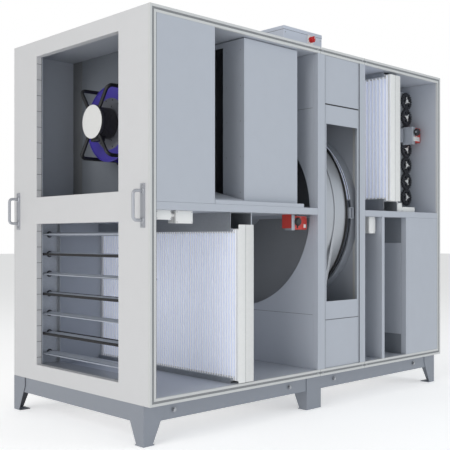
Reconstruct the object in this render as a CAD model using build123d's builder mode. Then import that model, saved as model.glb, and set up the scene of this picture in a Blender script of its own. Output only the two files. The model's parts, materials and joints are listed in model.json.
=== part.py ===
from build123d import *
import os
from math import acos, atan2, cos, hypot, pi, sin

# A heat recovery unit: a double-deck air handling cabinet with a rotary heat wheel.
# Air runs from left to right on one deck and back on the other, through the wheel in the middle.
# Everything is drawn in millimetres from the casing's front lower left corner:
# x runs along the casing, y runs from the service side to the back, and z runs up from its floor.
# save() shifts each piece so that the origin lies on the ground under the middle of the whole unit.

# ---- casing ----
casing_length = 2280.0
casing_depth = 1130.0
casing_height = 1700.0
wall = 34.0                 # thickness of every insulated panel
skin = 1.0                  # sheet steel on both sides of the insulation
core_gap = 0.3              # between the insulation and its skins
seam = 0.4                  # between neighbouring panels
left_module = 1120.0        # length of the left module
rotor_module = 380.0        # length of the heat wheel's module
frame_depth = 12.0          # how deep the front profile stands before the panels
groove_width = 10.0         # door seal groove in the middle of the front profile
groove_depth = 5.0
seal_height = 4.0
service_depth = 35.0        # how far most inner pieces stand behind the front
sheet = 2.0                 # folded sheet steel of the inner pieces
play = 0.3                  # clearance between fixed pieces that seat on one another

# ---- duct openings in both ends ----
duct_width = 686.0
duct_height = 705.0
liner_depth = 6.0
liner_thick = 2.0
liner_pitch = 79.0
liner_slots = 8

# ---- end handles ----
handle_reach = 60.0
handle_bar = 14.0
handle_legs = 125.0         # height between the two legs
handle_inset = 47.0         # from the front and from the back
handle_plate_width = 30.0
handle_plate_height = 188.0
handle_plate = 4.0

# ---- base ----
base_height = 175.0
rail_height = 77.0
rail_width = 60.0
rail_gauge = 3.0
base_setback = 44.0         # the base stands behind the casing's front by this
foot_top = 108.0
foot_tip = 49.0
foot_gauge = 4.0
foot_flange = 60.0          # floor plate of a foot
anchor_radius = 7.0
anchor_inset = 38.0         # from the outer corner of a foot
middle_foot_width = 114.0

# ---- fans ----
fan_wall_x = 340.0          # distance of the fan wall from its end of the casing
cone_throat = 118.0
cone_mouth = 160.0
cone_gauge = 2.0
cone_depth = 48.0
cone_flange = 26.0          # how far the cone's flange reaches past its mouth
impeller_radius = 185.0
impeller_width = 92.0
impeller_lip = 8.0          # how far the impeller's ring reaches over the cone's throat
ring_gap = 14.0             # radial, between the throat and the ring
blade_count = 7
blade_gauge = 3.0
motor_radius = 81.0
motor_length = 96.0
motor_cap = 14.0
motor_step = 9.0            # the body is this much smaller in radius than its cap
motor_gap = 6.0             # between the motor and the impeller's back plate
boss_wall = 20.0            # of the impeller's boss round the shaft
boss_reach = (4.0, 26.0)    # how far the boss stands behind and before the back plate
leg_radius = 9.0
leg_reach_y = 111.0         # the two set how steeply a leg leans
leg_reach_z = 163.0
leg_gap = 6.0               # between a leg and the turning impeller
fan_shaft_radius = 14.0

# ---- heat wheel ----
wheel_radius = 520.0
wheel_depth = 200.0
wheel_x = 1200.0            # left face of the wheel
rim_gauge = 3.0
hub_radius = 60.0
axle_radius = 15.0
running_clearance = 0.08    # radial, at every turning fit
plate_hole = 510.0          # air hole in the wheel's side plates
post_left = (1100.0, 1158.0)
post_right = (1456.0, 1506.0)
post_depth = 30.0
window_x = (1177.0, 1440.0)
window_z = (382.0, 1310.0)
window_strip = (286.0, 1412.0)
beam_height = 60.0
beam_depth = 30.0
beam_gauge = 3.0
motor_box = (90.0, 120.0, 90.0)
pulley_radius = 40.0
belt_width = 20.0
belt_gauge = 4.0
belt_gap = 0.4

# ---- dampers ----
blade_pitch = 100.0
blades_per_damper = 7
blade_chord = 98.0
blade_thick = 8.0
spindle_radius = 6.0
damper_depth = 110.0
damper_front = 195.0        # y of the damper frame's front side
damper_width = 740.0
damper_sheet = 3.0
damper_lip = 20.0
gear_teeth = 20
gear_addendum = 3.6
gear_dedendum = 4.8
gear_width = 10.0
gear_gap = 4.0              # between the gears and the frame's side
drive_blade = 4             # the blade, counted from 0 at the bottom, that the actuator turns
actuator_size = (88.0, 62.0, 88.0)
clamp_radius = 20.0
clamp_length = 14.0

# ---- filters ----
left_filter_x = (523.0, 625.0)
left_filter_z = (46.0, 755.0)
left_pleats = 48
right_filter_x = (1749.0, 1846.0)
right_filter_z = (926.0, 1650.0)
right_pleats = 30
cassette = 20.0             # width of the filter's card frame
pleat_height = 44.0
filter_rail = 18.0          # how far a rail is wider than its filter, on each side
filter_grip = 12.0          # how far a rail reaches past the filter's edge

# ---- heating coil and tray ----
coil_x = (596.0, 978.0)
coil_headroom = 4.0         # between the coil's casing and the roof panels
fin_pitch = 24.0
fin_gauge = 1.5
coil_inset = 70.0           # from the casing's edge to the fins
coil_lip = 24.0
coil_tubes = 8              # in each of the two rows
tube_radius = 8.0
coil_flange = 145.0
tray_gap = 2.0              # between the tray and the fan wall
tray_end = 990.0
tray_lip = 18.0
bearer = 20.0               # width of the two strips that the coil stands on
tray_slope = 0.235
tray_slope_length = 365.0

# ---- plates of the bays ----
post_size = (6.0, 60.0)     # slim post behind the left filter
bay_plate_x = (1666.0, 1690.0)
hatch_z = (150.0, 685.0)    # plate on the lower fan's wall

# ---- control box on the roof ----
box_x = (1005.0, 1315.0)
box_y = (150.0, 350.0)
box_height = 120.0
knob_radius = 16.0
knob_depth = 22.0
knob_spot = (1217.0, 78.0)  # along the casing, and above the roof
plate_side = 46.0
plate_gauge = 4.0

# ---- worked out from the values above ----
mid_z = casing_height / 2
mid_y = casing_depth / 2
deck_z = (mid_z - wall / 2, mid_z + wall / 2)
inner_back = casing_depth - wall
inner_top = casing_height - wall
right_start = left_module + rotor_module
inner_right = casing_length - wall
coil_top = inner_top - coil_headroom
tray_x = (fan_wall_x + wall + tray_gap, tray_end)
lower_z = (wall + deck_z[0]) / 2
upper_z = (deck_z[1] + inner_top) / 2
duct_shift = (upper_z - lower_z) / 2 + 2.5
duct_centres = (mid_z - duct_shift, mid_z + duct_shift)
origin_shift = (-(casing_length - handle_reach) / 2, -casing_depth / 2, base_height)


def save(piece, name):
    """Shift a finished piece to the ground frame and write it."""
    placed = piece.part.moved(Location(origin_shift))
    placed.label = name
    export_step(placed, f"parts/{name}.step")


def span(x, y, z, mode=Mode.ADD):
    """A box from its low and high value along each axis."""
    with Locations(((x[0] + x[1]) / 2, (y[0] + y[1]) / 2, (z[0] + z[1]) / 2)):
        Box(x[1] - x[0], y[1] - y[0], z[1] - z[0], mode=mode)


def rod(start, end, radius, mode=Mode.ADD):
    """A round bar between two points."""
    along = Vector(*end) - Vector(*start)
    with BuildSketch(Plane(origin=start, z_dir=along)) as section:
        Circle(radius)
    extrude(section.sketch, amount=along.length, mode=mode)


def shrunk(low_high, gap):
    return (low_high[0] + gap, low_high[1] - gap)


# ---- insulated panels ----

def end_openings(grow):
    """The two duct openings of an end panel, in the panel's y and z."""
    half_y = duct_width / 2 + grow
    half_z = duct_height / 2 + grow
    return [((mid_y - half_y, mid_y + half_y), (z - half_z, z + half_z)) for z in duct_centres]


def hollow(x, y, z, openings=()):
    """A steel-skinned panel; openings are pairs of y and z spans cut through along x."""
    span(x, y, z)
    span(shrunk(x, skin), shrunk(y, skin), shrunk(z, skin), Mode.SUBTRACT)
    for hole_y, hole_z in openings:
        span(x, shrunk(hole_y, -skin), shrunk(hole_z, -skin))
        span(shrunk(x, -skin), hole_y, hole_z, Mode.SUBTRACT)


def core(x, y, z, openings=()):
    """The insulation that fills such a panel."""
    inset = skin + core_gap
    span(shrunk(x, inset), shrunk(y, inset), shrunk(z, inset))
    for hole_y, hole_z in openings:
        span(x, shrunk(hole_y, -inset), shrunk(hole_z, -inset), Mode.SUBTRACT)


panel_y = (frame_depth, casing_depth)
module_spans = [
    (wall + seam, left_module - seam / 2),
    (left_module + seam / 2, right_start - seam / 2),
    (right_start + seam / 2, inner_right - seam),
]
back_z = (wall + seam, inner_top - seam)
deck_spans = [(wall + seam, post_left[0] - seam), (post_right[1] + seam, inner_right - seam)]
deck_y = (0.0, inner_back - seam)


def make_casing():
    ends = {"left_end_panel": (0.0, wall), "right_end_panel": (inner_right, casing_length)}
    for name, x in ends.items():
        with BuildPart() as end_panel:
            hollow(x, panel_y, (0, casing_height), end_openings(0))
        save(end_panel, name)
    with BuildPart() as roof:
        for x in module_spans:
            hollow(x, panel_y, (inner_top, casing_height))
    save(roof, "roof_panels")
    with BuildPart() as floor:
        for x in module_spans:
            hollow(x, panel_y, (0, wall))
    save(floor, "floor_panels")
    with BuildPart() as back:
        for x in module_spans:
            hollow(x, (inner_back, casing_depth), back_z)
    save(back, "back_panels")
    with BuildPart() as decks:
        for x in deck_spans:
            hollow(x, deck_y, deck_z)
    save(decks, "middle_decks")
    with BuildPart() as cores:
        for x in ends.values():
            core(x, panel_y, (0, casing_height), end_openings(0))
        for x in module_spans:
            core(x, panel_y, (inner_top, casing_height))
            core(x, panel_y, (0, wall))
            core(x, (inner_back, casing_depth), back_z)
        for x in deck_spans:
            core(x, deck_y, deck_z)
    save(cores, "insulation_cores")


def make_front_frame():
    """The light alloy profile round the service side, and the door seals in its groove."""
    with BuildPart() as profile:
        with BuildSketch(Plane.XZ):
            with Locations((casing_length / 2, casing_height / 2)):
                Rectangle(casing_length, casing_height)
                Rectangle(casing_length - 2 * wall, casing_height - 2 * wall, mode=Mode.SUBTRACT)
        extrude(amount=-frame_depth)
        with BuildSketch(Plane.XZ):
            groove_sketch(groove_width)
        extrude(amount=-groove_depth, mode=Mode.SUBTRACT)
    save(profile, "front_profile")
    with BuildPart() as seals:
        with BuildSketch(Plane.XZ.offset(-groove_depth)):
            groove_sketch(groove_width - 2 * play)
        extrude(amount=seal_height)
    save(seals, "door_seals")


def groove_sketch(width):
    """A ring of the given width along the middle of the front profile."""
    with Locations((casing_length / 2, casing_height / 2)):
        Rectangle(casing_length - wall + width, casing_height - wall + width)
        Rectangle(casing_length - wall - width, casing_height - wall - width, mode=Mode.SUBTRACT)


def make_duct_liners():
    """Slotted strips on the front and back jamb of every duct opening."""
    with BuildPart() as liners:
        for x in ((wall - liner_depth, wall), (inner_right, inner_right + liner_depth)):
            for centre in duct_centres:
                for side in (-1, 1):
                    jamb = mid_y + side * (duct_width / 2 - play)
                    y = sorted((jamb, jamb - side * liner_thick))
                    span(x, y, shrunk((centre - duct_height / 2, centre + duct_height / 2), play))
                    for slot in range(liner_slots):
                        z = centre + (slot - (liner_slots - 1) / 2) * liner_pitch
                        span(shrunk(x, 1.2), shrunk(y, -1), (z - 3, z + 3), Mode.SUBTRACT)
    save(liners, "duct_liners")


def make_handles():
    """Two pull handles on the left end, each a bent bar on two legs and a base plate."""
    bend = handle_bar * 1.2
    bar_x = -handle_reach + handle_bar / 2
    with BuildPart() as handles:
        for y in (handle_inset, casing_depth - handle_inset):
            low = mid_z - handle_legs / 2
            high = mid_z + handle_legs / 2
            with BuildLine():
                FilletPolyline((-handle_plate, y, low), (bar_x, y, low), (bar_x, y, high),
                               (-handle_plate, y, high), radius=bend)
            with BuildSketch(Plane(origin=(-handle_plate, y, low), z_dir=(-1, 0, 0))):
                Circle(handle_bar / 2)
            sweep()
            span((-handle_plate, 0), (y - handle_plate_width / 2, y + handle_plate_width / 2),
                 (mid_z - handle_plate_height / 2, mid_z + handle_plate_height / 2))
    save(handles, "end_handles")


# ---- base ----

rail_bottom = -rail_height
base_y = (base_setback, casing_depth)


def foot_side(plane, outer, direction):
    """The tapered outline of a foot's side on its plane, from its outer edge inwards."""
    tip = -base_height
    neck = rail_bottom * 0.6
    with BuildSketch(plane) as side:
        with BuildLine():
            Polyline((outer, 0), (outer, tip), (outer + direction * foot_tip, tip),
                     (outer + direction * foot_top, neck), (outer + direction * foot_top, 0),
                     (outer, 0))
        make_face()
    return side.sketch


def corner_foot(x, y, inward_x, inward_y):
    """Two tapered faces folded at the corner, and a floor plate with an anchor hole."""
    extrude(foot_side(Plane.XZ.offset(-y), x, inward_x), amount=-inward_y * foot_gauge)
    extrude(foot_side(Plane.YZ.offset(x), y, inward_y), amount=inward_x * foot_gauge)
    plate_x = sorted((x, x + inward_x * foot_flange))
    plate_y = sorted((y, y + inward_y * foot_flange))
    span(plate_x, plate_y, (-base_height, -base_height + foot_gauge))
    hole = (x + inward_x * anchor_inset, y + inward_y * anchor_inset)
    rod((*hole, -base_height - 1), (*hole, -base_height + foot_gauge + 1), anchor_radius, Mode.SUBTRACT)


def middle_foot(y, inward_y):
    """A flat face under the module joint with a tapered web at each side and a floor plate."""
    x = (left_module - middle_foot_width / 2, left_module + middle_foot_width / 2)
    face = sorted((y, y + inward_y * foot_gauge))
    span(x, face, (-base_height, 0))
    for edge, inward_x in ((x[0], 1), (x[1], -1)):
        extrude(foot_side(Plane.YZ.offset(edge), y, inward_y), amount=inward_x * foot_gauge)
    plate_y = sorted((y, y + inward_y * foot_flange))
    span(x, plate_y, (-base_height, -base_height + foot_gauge))


def make_base():
    """Channel rails that stand inside the folded feet."""
    inner = (foot_gauge + play, casing_length - foot_gauge - play)
    rails_y = (base_setback + foot_gauge + play, casing_depth - foot_gauge - play)
    low_z = (rail_bottom, 0)
    with BuildPart() as frames:
        for x in ((inner[0], left_module - seam / 2), (left_module + seam / 2, inner[1])):
            span(x, rails_y, low_z)
            span(shrunk(x, rail_gauge), shrunk(rails_y, rail_gauge), shrunk(low_z, rail_gauge), Mode.SUBTRACT)
            span(shrunk(x, rail_width), shrunk(rails_y, rail_width), shrunk(low_z, -1), Mode.SUBTRACT)
    save(frames, "base_frames")
    with BuildPart() as feet:
        for x, inward_x in ((0.0, 1), (casing_length, -1)):
            corner_foot(x, base_y[0], inward_x, 1)
            corner_foot(x, base_y[1], inward_x, -1)
        middle_foot(base_y[0], 1)
        middle_foot(base_y[1], -1)
        under_rails = (rail_bottom - play, 1)
        webs_x = shrunk((left_module - middle_foot_width / 2, left_module + middle_foot_width / 2), -1)
        span(webs_x, shrunk(rails_y, -play), under_rails, Mode.SUBTRACT)
    save(feet, "feet")


# ---- fans ----

def fan_point(end_x, inward, distance):
    return end_x + inward * distance


fans = {
    "upper": {"end": 0.0, "inward": 1, "z": duct_centres[1]},
    "lower": {"end": casing_length, "inward": -1, "z": duct_centres[0]},
}
fan_bays = {"upper": (deck_z[1], inner_top), "lower": (wall, deck_z[0])}
impeller_back = fan_wall_x - cone_depth - impeller_width
motor_start = impeller_back - motor_gap - motor_length


def axial(fan, near, far, radius, mode=Mode.ADD):
    """A disc or bar on a fan's axis between two distances from its end of the casing."""
    start = (fan_point(fan["end"], fan["inward"], near), mid_y, fan["z"])
    end = (fan_point(fan["end"], fan["inward"], far), mid_y, fan["z"])
    rod(start, end, radius, mode)


def fan_profile_plane(fan):
    """Sketch plane through a fan's axis: its x is the distance inwards and its y is the radius."""
    return Plane(origin=(fan["end"], mid_y, fan["z"]), x_dir=(fan["inward"], 0, 0),
                 z_dir=(0, -fan["inward"], 0))


def fan_axis(fan):
    return Axis((fan["end"], mid_y, fan["z"]), (fan["inward"], 0, 0))


def make_fan_walls():
    """The partition that each plug fan draws through, with its spun inlet cone."""
    with BuildPart() as walls:
        for name, fan in fans.items():
            near = fan_point(fan["end"], fan["inward"], fan_wall_x)
            far = near + fan["inward"] * wall
            bay = shrunk(fan_bays[name], seam)
            span(sorted((near, far)), (service_depth, inner_back - seam), bay)
            axial(fan, fan_wall_x - 1, fan_wall_x + wall + 1, cone_mouth, Mode.SUBTRACT)
            lighten_wall(fan, bay)
            inlet_cone(fan)
    save(walls, "fan_walls")


def lighten_wall(fan, bay):
    """Hollow the partition round its hole, so that it is two sheets and their edges."""
    near = fan_point(fan["end"], fan["inward"], fan_wall_x + skin)
    far = fan_point(fan["end"], fan["inward"], fan_wall_x + wall - skin)
    y = shrunk((service_depth, inner_back - seam), skin)
    middle_z = (bay[0] + bay[1]) / 2
    with BuildSketch(Plane.YZ.offset(min(near, far))) as hollow_space:
        with Locations(((y[0] + y[1]) / 2, middle_z)):
            Rectangle(y[1] - y[0], bay[1] - bay[0] - 2 * skin)
        with Locations((mid_y, fan["z"])):
            Circle(cone_mouth + skin, mode=Mode.SUBTRACT)
    extrude(hollow_space.sketch, amount=abs(far - near), mode=Mode.SUBTRACT)


def inlet_cone(fan):
    """A spun bell mouth whose flange lies on the fan wall and whose throat enters the impeller."""
    flange = cone_mouth + cone_flange
    face = fan_wall_x - play
    throat = fan_wall_x - cone_depth
    with BuildSketch(fan_profile_plane(fan)) as profile:
        with BuildLine():
            Polyline((face, cone_mouth - 2), (face, flange), (face - cone_gauge, flange),
                     (face - cone_gauge, cone_mouth + cone_gauge))
            ThreePointArc((face - cone_gauge, cone_mouth + cone_gauge),
                          (face - 24, cone_throat + 14), (throat, cone_throat + cone_gauge))
            Line((throat, cone_throat + cone_gauge), (throat, cone_throat))
            ThreePointArc((throat, cone_throat), (face - 23, cone_throat + 11),
                          (face, cone_mouth - 2))
        make_face()
    revolve(profile.sketch, axis=fan_axis(fan))


def make_impeller(name, fan):
    """A backward-curved impeller: back plate, ring and curved blades, on its boss."""
    back = impeller_back
    front = impeller_back + impeller_width
    inner = cone_throat + ring_gap
    with BuildPart() as impeller:
        axial(fan, back, back + blade_gauge, impeller_radius)
        axial(fan, back - boss_reach[0], back + boss_reach[1], fan_shaft_radius + boss_wall)
        with BuildSketch(fan_profile_plane(fan)):
            with BuildLine():
                Polyline((front - 20, impeller_radius), (front + impeller_lip, inner),
                         (front + impeller_lip + blade_gauge, inner),
                         (front - 20 + blade_gauge, impeller_radius), close=True)
            make_face()
        revolve(axis=fan_axis(fan))
        plane = Plane(origin=(fan_point(fan["end"], fan["inward"], back), mid_y, fan["z"]),
                      x_dir=(0, 1, 0), z_dir=(fan["inward"], 0, 0))
        with BuildSketch(plane):
            with PolarLocations(0, blade_count):
                with BuildLine():
                    outer = ThreePointArc((inner - 6, 0), (inner + 22, 22), (impeller_radius - 4, 62))
                    offset(outer, blade_gauge / 2, side=Side.BOTH)
                make_face()
        extrude(amount=impeller_width - 18)
        axial(fan, back - boss_reach[0] - 1, back + boss_reach[1] + 1,
              fan_shaft_radius + running_clearance, Mode.SUBTRACT)
    save(impeller, f"{name}_fan_impeller")


def make_motors():
    """External rotor motors: a round body, a flat cap on the duct side and a stub shaft."""
    with BuildPart() as motors:
        for fan in fans.values():
            axial(fan, motor_start + motor_cap, motor_start + motor_length, motor_radius - motor_step)
            axial(fan, motor_start, motor_start + motor_cap, motor_radius)
            axial(fan, motor_start + motor_length, impeller_back + boss_reach[1] + 8, fan_shaft_radius)
    save(motors, "fan_motors")
    with BuildPart() as legs:
        for fan in fans.values():
            for side_y in (-1, 1):
                for side_z in (-1, 1):
                    motor_leg(fan, side_y, side_z)
    save(legs, "fan_legs")


def motor_leg(fan, side_y, side_z):
    """One bent tube from the motor's cap out past the impeller and back to the fan wall."""
    near = motor_start + leg_radius + 2
    slope = hypot(leg_reach_y, leg_reach_z)
    unit_y = side_y * leg_reach_y / slope
    unit_z = side_z * leg_reach_z / slope
    start = motor_radius + play
    bend = impeller_radius + leg_gap + leg_radius
    x_near = fan_point(fan["end"], fan["inward"], near)
    x_far = fan_point(fan["end"], fan["inward"], fan_wall_x - play)
    points = [
        (x_near, mid_y + unit_y * start, fan["z"] + unit_z * start),
        (x_near, mid_y + unit_y * bend, fan["z"] + unit_z * bend),
        (x_far, mid_y + unit_y * bend, fan["z"] + unit_z * bend),
    ]
    with BuildLine() as route:
        FilletPolyline(*points, radius=leg_radius * 3)
    with BuildSketch(Plane(origin=points[0], z_dir=(0, unit_y, unit_z))) as section:
        Circle(leg_radius)
    sweep(section.sketch, path=route.line)


def make_fan_covers():
    """Shallow folded covers over the service side of the two fan bays."""
    with BuildPart() as covers:
        for name, fan in fans.items():
            outer = fan_point(fan["end"], fan["inward"], wall + play)
            inner = fan_point(fan["end"], fan["inward"], fan_wall_x + wall)
            x = sorted((outer, inner))
            z = shrunk(fan_bays[name], play)
            span(x, (0.5, service_depth - play), z)
            span(shrunk(x, sheet), (0.5 + sheet, service_depth), shrunk(z, sheet), Mode.SUBTRACT)
    save(covers, "fan_covers")


# ---- heat wheel ----

wheel_centre_x = wheel_x + wheel_depth / 2
wheel_far = wheel_x + wheel_depth
side_plates = [(post_left[0], post_left[0] + sheet), (post_right[1] - sheet, post_right[1])]
beam_left = (wheel_x - 12 - beam_depth, wheel_x - 12)
beam_right = (wheel_far + 12, wheel_far + 12 + beam_depth)
pulley_y = mid_y - 330.0
pulley_z = wall + 75.0
belt_x = (wheel_centre_x - belt_width / 2, wheel_centre_x + belt_width / 2)


def wheel_bar(x, radius, mode=Mode.ADD):
    rod((x[0], mid_y, mid_z), (x[1], mid_y, mid_z), radius, mode)


def make_rotor_casing():
    """Front posts and the two side plates with their round air holes."""
    bay = (wall + play, inner_top - play)
    with BuildPart() as casing:
        for x in side_plates:
            span(x, (post_depth + play, inner_back - play), bay)
            wheel_bar((x[0] - 1, x[1] + 1), plate_hole, Mode.SUBTRACT)
        for x in (post_left, post_right):
            span(x, (0, post_depth), bay)
            span(shrunk(x, sheet), (sheet, post_depth + 1), shrunk(bay, sheet), Mode.SUBTRACT)
    save(casing, "rotor_casing")
    seal_near = (side_plates[0][1] + play, beam_left[0] - 8)
    seal_far = (beam_right[1] + 8, side_plates[1][0] - play)
    with BuildPart() as seals:
        for x in (seal_near, seal_far):
            wheel_bar(x, plate_hole + 6)
            wheel_bar((x[0] - 1, x[1] + 1), plate_hole, Mode.SUBTRACT)
    save(seals, "wheel_seals")


def make_rotor_cover():
    """The cover between the posts: two closed panels, two strips and the window between them."""
    x = (post_left[1] + play, post_right[0] - play)
    z = (wall + play, inner_top - play)
    y = (6.0, 6.0 + sheet)
    lip = 22.0
    with BuildPart() as cover:
        span(x, (y[0], y[0] + lip), z)
        span(shrunk(x, sheet), (y[1], y[0] + lip + 1), shrunk(z, sheet), Mode.SUBTRACT)
        span(window_x, (0, lip * 2), window_z, Mode.SUBTRACT)
        for seam_z in window_strip:
            span((x[0] + 4, x[1] - 4), (y[0] - 1, y[0] + sheet / 2), (seam_z - 2, seam_z + 2), Mode.SUBTRACT)
    save(cover, "rotor_cover")


def make_wheel():
    """Matrix, rim and hub of the heat wheel, and the fixed axle with its cross beams."""
    ends = (wheel_x, wheel_far)
    with BuildPart() as matrix:
        wheel_bar(ends, wheel_radius - rim_gauge - play)
        wheel_bar(shrunk(ends, -1), hub_radius + play, Mode.SUBTRACT)
    save(matrix, "wheel_matrix")
    with BuildPart() as rim:
        wheel_bar(ends, wheel_radius)
        wheel_bar(shrunk(ends, -1), wheel_radius - rim_gauge, Mode.SUBTRACT)
    save(rim, "wheel_rim")
    with BuildPart() as hub:
        wheel_bar(shrunk(ends, -4), hub_radius)
        wheel_bar(shrunk(ends, -5), axle_radius + running_clearance, Mode.SUBTRACT)
    save(hub, "wheel_hub")
    with BuildPart() as axle:
        wheel_bar((beam_left[0], beam_right[1]), axle_radius)
        beam_z = (mid_z - beam_height / 2, mid_z + beam_height / 2)
        for x in (beam_left, beam_right):
            span(x, (post_depth + play, inner_back - play), beam_z)
            tube_x = shrunk(x, beam_gauge)
            for y in ((post_depth, mid_y - 2 * axle_radius), (mid_y + 2 * axle_radius, inner_back)):
                span(tube_x, y, shrunk(beam_z, beam_gauge), Mode.SUBTRACT)
    save(axle, "wheel_axle")


def make_wheel_drive():
    """Gear motor on the floor of the wheel's module, its pulley and the belt round the rim."""
    size_x, size_y, size_z = motor_box
    motor_far = belt_x[0] - 16
    with BuildPart() as motor:
        span((motor_far - size_x, motor_far), (pulley_y - size_y / 2, pulley_y + size_y / 2),
             (wall + play, pulley_z + size_z / 2 - 10))
        rod((motor_far, pulley_y, pulley_z), (belt_x[1] + 8, pulley_y, pulley_z), 8)
    save(motor, "wheel_motor")
    with BuildPart() as pulley:
        with BuildSketch(Plane.YZ.offset(belt_x[0] - 6)):
            with Locations((pulley_y, pulley_z)):
                Circle(pulley_radius + 5)
        extrude(amount=5)
        with BuildSketch(Plane.YZ.offset(belt_x[0] - 1)):
            with Locations((pulley_y, pulley_z)):
                Circle(pulley_radius)
        extrude(amount=belt_width + 2)
        with BuildSketch(Plane.YZ.offset(belt_x[1] + 1)):
            with Locations((pulley_y, pulley_z)):
                Circle(pulley_radius + 5)
        extrude(amount=5)
        rod((belt_x[0] - 8, pulley_y, pulley_z), (belt_x[1] + 7, pulley_y, pulley_z),
            8 + running_clearance, Mode.SUBTRACT)
    save(pulley, "wheel_pulley")
    with BuildPart() as belt:
        extrude(belt_outline(belt_x[0], belt_gap + belt_gauge), amount=belt_width)
        extrude(belt_outline(belt_x[0] - 1, belt_gap), amount=belt_width + 2, mode=Mode.SUBTRACT)
    save(belt, "wheel_belt")


def belt_outline(x, out):
    """The area that the belt encloses round the wheel and the pulley, grown by the given gap."""
    big = wheel_radius + out
    small = pulley_radius + out
    reach_y = pulley_y - mid_y
    reach_z = pulley_z - mid_z
    distance = hypot(reach_y, reach_z)
    heading = atan2(reach_z, reach_y)
    lean = acos((big - small) / distance)
    corners = []
    for side in (1, -1):
        angle = heading + side * lean
        corners.append((mid_y + big * cos(angle), mid_z + big * sin(angle)))
        corners.append((pulley_y + small * cos(angle), pulley_z + small * sin(angle)))
    with BuildSketch(Plane.YZ.offset(x)) as outline:
        with Locations((mid_y, mid_z)):
            Circle(big)
        with Locations((pulley_y, pulley_z)):
            Circle(small)
        with BuildLine():
            Polyline(corners[0], corners[1], corners[3], corners[2], corners[0])
        make_face()
    return outline.sketch


# ---- dampers ----

dampers = {
    "lower": {"face": wall, "inward": 1, "z": duct_centres[0]},
    "upper": {"face": inner_right, "inward": -1, "z": duct_centres[1]},
}
damper_back = damper_front + damper_width
gear_y = (damper_front - gear_gap - gear_width, damper_front - gear_gap)


def damper_x(damper, near, far):
    return sorted((damper["face"] + damper["inward"] * near, damper["face"] + damper["inward"] * far))


def blade_heights(damper):
    middle = (blades_per_damper - 1) / 2
    return [damper["z"] + (index - middle) * blade_pitch for index in range(blades_per_damper)]


def make_damper_frames():
    """Sheet frames behind two of the duct openings, with lips that point inwards."""
    with BuildPart() as frames:
        for damper in dampers.values():
            x = damper_x(damper, play, damper_depth)
            z = (damper["z"] - duct_height / 2 - damper_sheet, damper["z"] + duct_height / 2 + damper_sheet)
            span(x, (damper_front, damper_back), z)
            span(shrunk(x, damper_sheet), shrunk((damper_front, damper_back), damper_sheet),
                 shrunk(z, damper_sheet), Mode.SUBTRACT)
            span(shrunk(x, -1), shrunk((damper_front, damper_back), damper_lip),
                 shrunk(z, damper_sheet), Mode.SUBTRACT)
            axis_x = sum(damper_x(damper, damper_depth / 2, damper_depth / 2)) / 2
            for height in blade_heights(damper):
                rod((axis_x, damper_front - 1, height), (axis_x, damper_back + 1, height),
                    spindle_radius + running_clearance, Mode.SUBTRACT)
    save(frames, "damper_frames")


def gear_points(phase):
    """The corners of a spur gear round the origin; phase is a share of one tooth."""
    pitch_radius = blade_pitch / 2
    step = 2 * pi / gear_teeth
    points = []
    for tooth in range(gear_teeth):
        centre = (tooth + phase) * step
        for share, radius in ((-0.29, -gear_dedendum), (-0.13, gear_addendum),
                              (0.13, gear_addendum), (0.29, -gear_dedendum)):
            angle = centre + share * step
            reach = pitch_radius + radius
            points.append((reach * cos(angle), reach * sin(angle)))
    return points


def make_blade(name, damper, index, height):
    """One louvre with its spindle and gear; the driven one also carries the actuator's clamp."""
    axis_x = damper_x(damper, damper_depth / 2, damper_depth / 2)[0]
    ends = (damper_front + damper_sheet + 2, damper_back - damper_sheet - 2)
    driven = index == drive_blade
    spindle_start = gear_y[0] - actuator_size[1] - clamp_length - 8 if driven else gear_y[0] - 2
    with BuildPart() as blade:
        with BuildSketch(Plane.XZ.offset(-ends[0])):
            with Locations((axis_x, height)):
                Ellipse(blade_chord / 2, blade_thick / 2)
                Circle(spindle_radius + 3)
        extrude(amount=-(ends[1] - ends[0]))
        rod((axis_x, spindle_start, height), (axis_x, ends[0] + 1, height), spindle_radius)
        rod((axis_x, ends[1] - 1, height), (axis_x, damper_back + 3, height), spindle_radius)
        gear_plane = Plane(origin=(axis_x, gear_y[1], height), x_dir=(1, 0, 0), z_dir=(0, -1, 0))
        with BuildSketch(gear_plane):
            with BuildLine():
                Polyline(*gear_points(0.5 * (index % 2)), close=True)
            make_face()
            with PolarLocations(blade_pitch * 0.3, 6):
                Circle(blade_pitch * 0.09, mode=Mode.SUBTRACT)
        extrude(amount=gear_width)
        if driven:
            rod((axis_x, spindle_start + 2, height), (axis_x, spindle_start + 2 + clamp_length, height),
                clamp_radius)
    save(blade, f"{name}_blade_{index + 1}")


def make_actuators():
    """The motors that turn each damper's driven spindle, on their folded brackets."""
    width, depth, height = actuator_size
    with BuildPart() as actuators:
        for damper in dampers.values():
            axis = damper_x(damper, damper_depth / 2, damper_depth / 2)[0]
            spindle_z = blade_heights(damper)[drive_blade]
            body_y = (gear_y[0] - 3 - depth, gear_y[0] - 3)
            body_x = damper_x(damper, 6, 6 + width)
            body_z = (spindle_z - height + 26, spindle_z + 26)
            span(body_x, body_y, body_z)
            leg_x = damper_x(damper, damper_depth + play, damper_depth + play + damper_sheet)
            arm_x = damper_x(damper, 6 + width, damper_depth + play + damper_sheet)
            span(arm_x, (body_y[1] - damper_sheet, body_y[1]), body_z)
            span(leg_x, (body_y[1] - damper_sheet, damper_front + damper_lip * 2), body_z)
            rod((axis, body_y[0] - 1, spindle_z), (axis, gear_y[0], spindle_z),
                spindle_radius + running_clearance, Mode.SUBTRACT)
    save(actuators, "damper_actuators")


def make_dampers():
    make_damper_frames()
    for name, damper in dampers.items():
        for index, height in enumerate(blade_heights(damper)):
            make_blade(name, damper, index, height)
    make_actuators()


# ---- filters ----

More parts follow.
